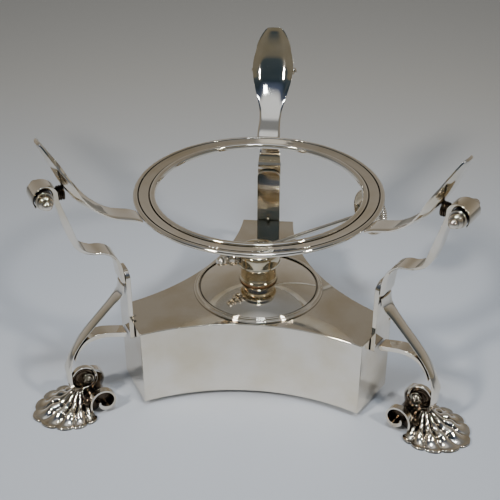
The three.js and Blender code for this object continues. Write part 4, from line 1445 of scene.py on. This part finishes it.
@dataclass
class ShellFoot:
    """A scallop shell foot: nine ribs, with a spool, a saddle and two curled horns behind them."""

    hub_reach: float = 98.0
    hub_height: float = 11.2
    ribs: int = 9
    rib_spacing: float = 24.0
    front_length: float = 24.95
    side_length: float = 16.3
    rib_depth: float = 2.6
    rib_fullness: float = 0.99
    scallop: float = 1.6
    thin_share: float = 0.35
    least_height: float = 0.35
    rib_strips: int = 12
    rows: int = 44
    roll_centre: Row = (89.3, 7.2)
    roll_radius: float = 5.9
    saddle_centre: Row = (94.6, 4.7)
    saddle_radius: float = 4.6
    horn_inner: float = 8.0
    horn_outer: float = 11.4
    horn_clearance: float = 0.1
    height_shares: Rows = (
        (0, 1.0), (0.1, 0.975), (0.2, 0.88), (0.34, 0.64), (0.46, 0.49), (0.56, 0.46), (0.64, 0.42),
        (0.74, 0.26), (0.84, 0.15), (0.92, 0.11), (1.0, 0.13),
    )
    depth_shares: Rows = (
        (0, 0.1), (0.1, 0.35), (0.3, 0.85), (0.45, 1.0), (0.62, 1.0), (0.74, 0.9), (0.88, 0.6),
        (1.0, 0.35),
    )
    roll_rows: Rows = (
        (0.5, 0), (0.51, 1.5), (0.56, 3.2), (0.68, 4.8), (0.85, 6.2), (0.94, 7.2), (0.95, 7.8),
        (0.8, 8.0), (0.4, 8.0), (0, 8.0),
    )
    saddle_rows: Rows = (
        (0.97, 0), (0.99, 3.0), (1, 5.0), (0.97, 6.6), (0.86, 7.8), (0.6, 8.5), (0.3, 8.7), (0, 8.7),
    )
    horn_rows: Rows = (
        (-50, 9.6, 0.5), (-38, 8.5, 0.8), (-15, 7.3, 0.9), (25, 6.8, 0.9), (70, 6.9, 0.9),
        (110, 6.8, 0.9), (150, 6.4, 0.95), (190, 6.0, 1.1), (230, 5.6, 1.6), (262, 4.9, 2.0),
        (295, 4.0, 1.9), (325, 3.3, 1.5), (350, 2.7, 1.1), (375, 2.2, 0.7),
    )

    def build(self, side: Side) -> None:
        """Builds one leg's foot.

        Args:
            side: the leg.
        """
        present_on_leg(self._fan(), side, "shell_fan", "shell_foot", OXIDISED, edge=0)
        for name, rows, radius, centre in (
            ("foot_roll", self.roll_rows, self.roll_radius, self.roll_centre),
            ("foot_saddle", self.saddle_rows, self.saddle_radius, self.saddle_centre),
        ):
            made = turned(both_ways([(share * radius, along) for share, along in rows]), steps=72)
            present_on_leg(made, side, name, "", BLACKENED_AND_SHADED, laid(*centre), edge=0.3)
        present_on_leg(self._horns(), side, "foot_horns", "", OXIDISED, edge=0.3, edge_angle=50)

    def _fan(self) -> Mesh:
        """Makes the ribbed fan, closed down to the table.

        Returns:
            The closed mesh, in millimetres in the leg's frame.
        """
        heights = smooth_rows(self.height_shares, steps=5)
        depths = smooth_rows(self.depth_shares, steps=5)
        made = bmesh.new()
        bmesh.ops.create_grid(
            made, x_segments=self.rows, y_segments=self.ribs * self.rib_strips, size=1
        )
        for vertex in made.verts:
            out, angle = (vertex.co.x + 1) / 2, vertex.co.y * self.ribs * self.rib_spacing / 2
            across = (vertex.co.y + 1) / 2 * self.ribs % 1 * 2 - 1
            ridge = math.sqrt(max(0.0, 1 - (self.rib_fullness * across) ** 2))
            aside = abs(angle) / QUARTER_DEGREES
            length = self.front_length - (self.front_length - self.side_length) * aside
            length -= self.scallop * (1 - ridge)
            x, y = polar(out * length, angle, (self.hub_reach, 0))
            share = read_along(heights, out)
            groove = self.rib_depth * read_along(depths, out) * (1 - ridge)
            z = share * self.hub_height - groove * min(1.0, share / self.thin_share)
            vertex.co = (x, y, max(z, self.least_height))
        bmesh.ops.remove_doubles(made, verts=made.verts, dist=SEAM_DISTANCE)
        rim = [edge for edge in made.edges if edge.is_boundary]
        for vertex in new_vertices(bmesh.ops.extrude_edge_only(made, edges=rim)):
            vertex.co.z = 0
        lowest = [vertex for vertex in made.verts if vertex.co.z < MERGE_DISTANCE]
        bmesh.ops.remove_doubles(made, verts=lowest, dist=SEAM_DISTANCE)
        floor = [edge for edge in made.edges if edge.is_boundary]
        bmesh.ops.triangle_fill(made, edges=floor, use_beauty=True)
        bmesh.ops.recalc_face_normals(made, faces=made.faces)
        return made

    def _horns(self) -> Mesh:
        """Makes the bands at both sides, which rise from the fan and curl in like a wave.

        Returns:
            Both closed bands in one mesh, in millimetres in the leg's frame.
        """
        rows = []
        for angle, radius, thickness in smooth_rows(self.horn_rows, steps=6):
            reach, height = polar(radius, angle, self.roll_centre)
            width = self.horn_outer - self.horn_inner
            rows.append((reach, max(height, self.horn_clearance), width, -thickness, 0.0))
        made = strap(rows, flat_face, strips=6)
        middle = (self.horn_inner + self.horn_outer) / 2
        bmesh.ops.translate(made, verts=made.verts, vec=(0, -middle, 0))
        twin = bmesh.ops.duplicate(made, geom=[*made.verts, *made.edges, *made.faces])
        bmesh.ops.translate(made, verts=new_vertices(twin), vec=(0, 2 * middle, 0))
        return made


@dataclass
class Studio:
    """Pale floor, two soft lights in front, a cool one overhead, the room's glow and the camera.

    The lights' rows are name, place and size in metres, power in watts and colour. The room's
    stops are the height of a direction, from 0 at the horizon to 1 overhead, and its colour.
    """

    floor_half: float = 4000.0
    lens: float = 70.4
    sensor: float = 36.0
    nearest: float = 0.01
    camera_place: Row = (33.3, -419.8, 320.0)
    camera_heading: Row = (-0.0893, 0.996)
    camera_pitch: float = -31.37
    light_spread: float = 70.0
    light_aim: Row = (0, 0, 0.05)
    lights: tuple = (
        ("left_box", (-0.42, -0.52, 0.62), 0.09, 0.66, (1.0, 0.95, 0.88)),
        ("right_box", (0.52, -0.42, 0.6), 0.07, 0.43, (1.0, 0.96, 0.9)),
        ("overhead", (0.06, -0.25, 0.85), 0.14, 0.3, (0.8, 0.9, 1.0)),
    )
    room_front: Row = (-0.25, 0.15)
    room_ahead: tuple = (
        (0.0, "A8A5A0"), (0.35, "97928A"), (0.6, "837E75"), (0.89, "7F8388"), (0.97, "E4EAF2"),
    )
    room_behind: tuple = (
        (0.0, "7F7C72"), (0.4, "6E6B60"), (0.46, "3D4850"), (0.75, "2C3945"), (0.89, "4B5670"),
        (0.97, "E4EAF2"),
    )

    def build(self) -> None:
        """Builds the set and the camera."""
        grid = bmesh.new()
        bmesh.ops.create_grid(grid, x_segments=2, y_segments=2, size=self.floor_half)
        add_mesh(grid, "floor", table_frame(), FLOOR_PAPER)
        self._lights()
        self._room()
        self._camera()

    @staticmethod
    def _aimed(name: str, data: bpy.types.ID, place: Vector, way: Vector) -> bpy.types.Object:
        """Adds a light or a camera.

        Args:
            name: the object's name.
            data: the light or camera.
            place: where it stands, in metres.
            way: the direction that it points in.

        Returns:
            The object.
        """
        thing = bpy.data.objects.new(name, data)
        thing.location = place
        thing.rotation_euler = way.to_track_quat("-Z", "Y").to_euler()
        bpy.context.scene.collection.objects.link(thing)
        return thing

    def _camera(self) -> None:
        """Sets the camera at the photograph's place."""
        data = bpy.data.cameras.new("camera")
        data.lens = self.lens
        data.sensor_width = self.sensor
        data.clip_start = self.nearest
        pitch = math.radians(self.camera_pitch)
        heading = Vector((*self.camera_heading, 0)).normalized() * math.cos(pitch)
        look = heading + Vector((0, 0, math.sin(pitch)))
        place = Vector(self.camera_place) * MILLIMETRE
        bpy.context.scene.camera = self._aimed("camera", data, place, look)

    def _lights(self) -> None:
        """Hangs the soft lights."""
        for name, place, size, power, colour in self.lights:
            data = bpy.data.lights.new(name, "AREA")
            data.shape = "SQUARE"
            data.size = size
            data.energy = power
            data.spread = math.radians(self.light_spread)
            data.color = colour
            self._aimed(name, data, Vector(place), Vector(self.light_aim) - Vector(place))

    def _room(self) -> None:
        """Paints the room: greyer ahead, dark behind the camera, and bright overhead."""
        world = bpy.data.worlds.new("room")
        bpy.context.scene.world = world
        world.use_nodes = True
        tree = world.node_tree
        way = add_node(tree, "ShaderNodeTexCoord", {}).outputs["Generated"]
        parts = add_node(tree, "ShaderNodeSeparateXYZ", {"Vector": way})
        ahead, behind = (
            set_ramp(add_node(tree, "ShaderNodeValToRGB", {"Fac": parts.outputs["Z"]}), stops)
            for stops in (self.room_ahead, self.room_behind)
        )
        start, end = self.room_front
        front = add_node(tree, "ShaderNodeMapRange", {
            "Value": parts.outputs["Y"], "From Min": start, "From Max": end,
        }, interpolation_type="SMOOTHSTEP")
        mixed = add_node(tree, "ShaderNodeMix", {
            "Factor": front.outputs["Result"], MIX_FIRST: behind, MIX_SECOND: ahead,
        }, data_type="RGBA")
        glow = {"Color": mixed.outputs[MIX_COLOUR], "Strength": 1.0}
        set_inputs(tree, tree.nodes["Background"], glow)


def main() -> None:
    """Builds the stand, its finishes and the set."""
    logging.basicConfig(level=logging.INFO, format="%(message)s")
    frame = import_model()
    Studio().build()
    Reservoir().build()
    dish = LampDish()
    dish.build()
    SupportRing().build()
    burner = Burner(seat=dish.neck_top)
    burner.build()
    Winder(burner.spindle_frame).build()
    dress_node(frame["nodes"], "wick_pinion", BRASS)
    for side in Side:
        KettleArm().build(side)
        Knuckle().build(side)
        LegStraps().build(side)
        ShellFoot().build(side)
    log.info("%d CAD nodes in the frame", len(frame["nodes"]))


if __name__ == "__main__":
    main()
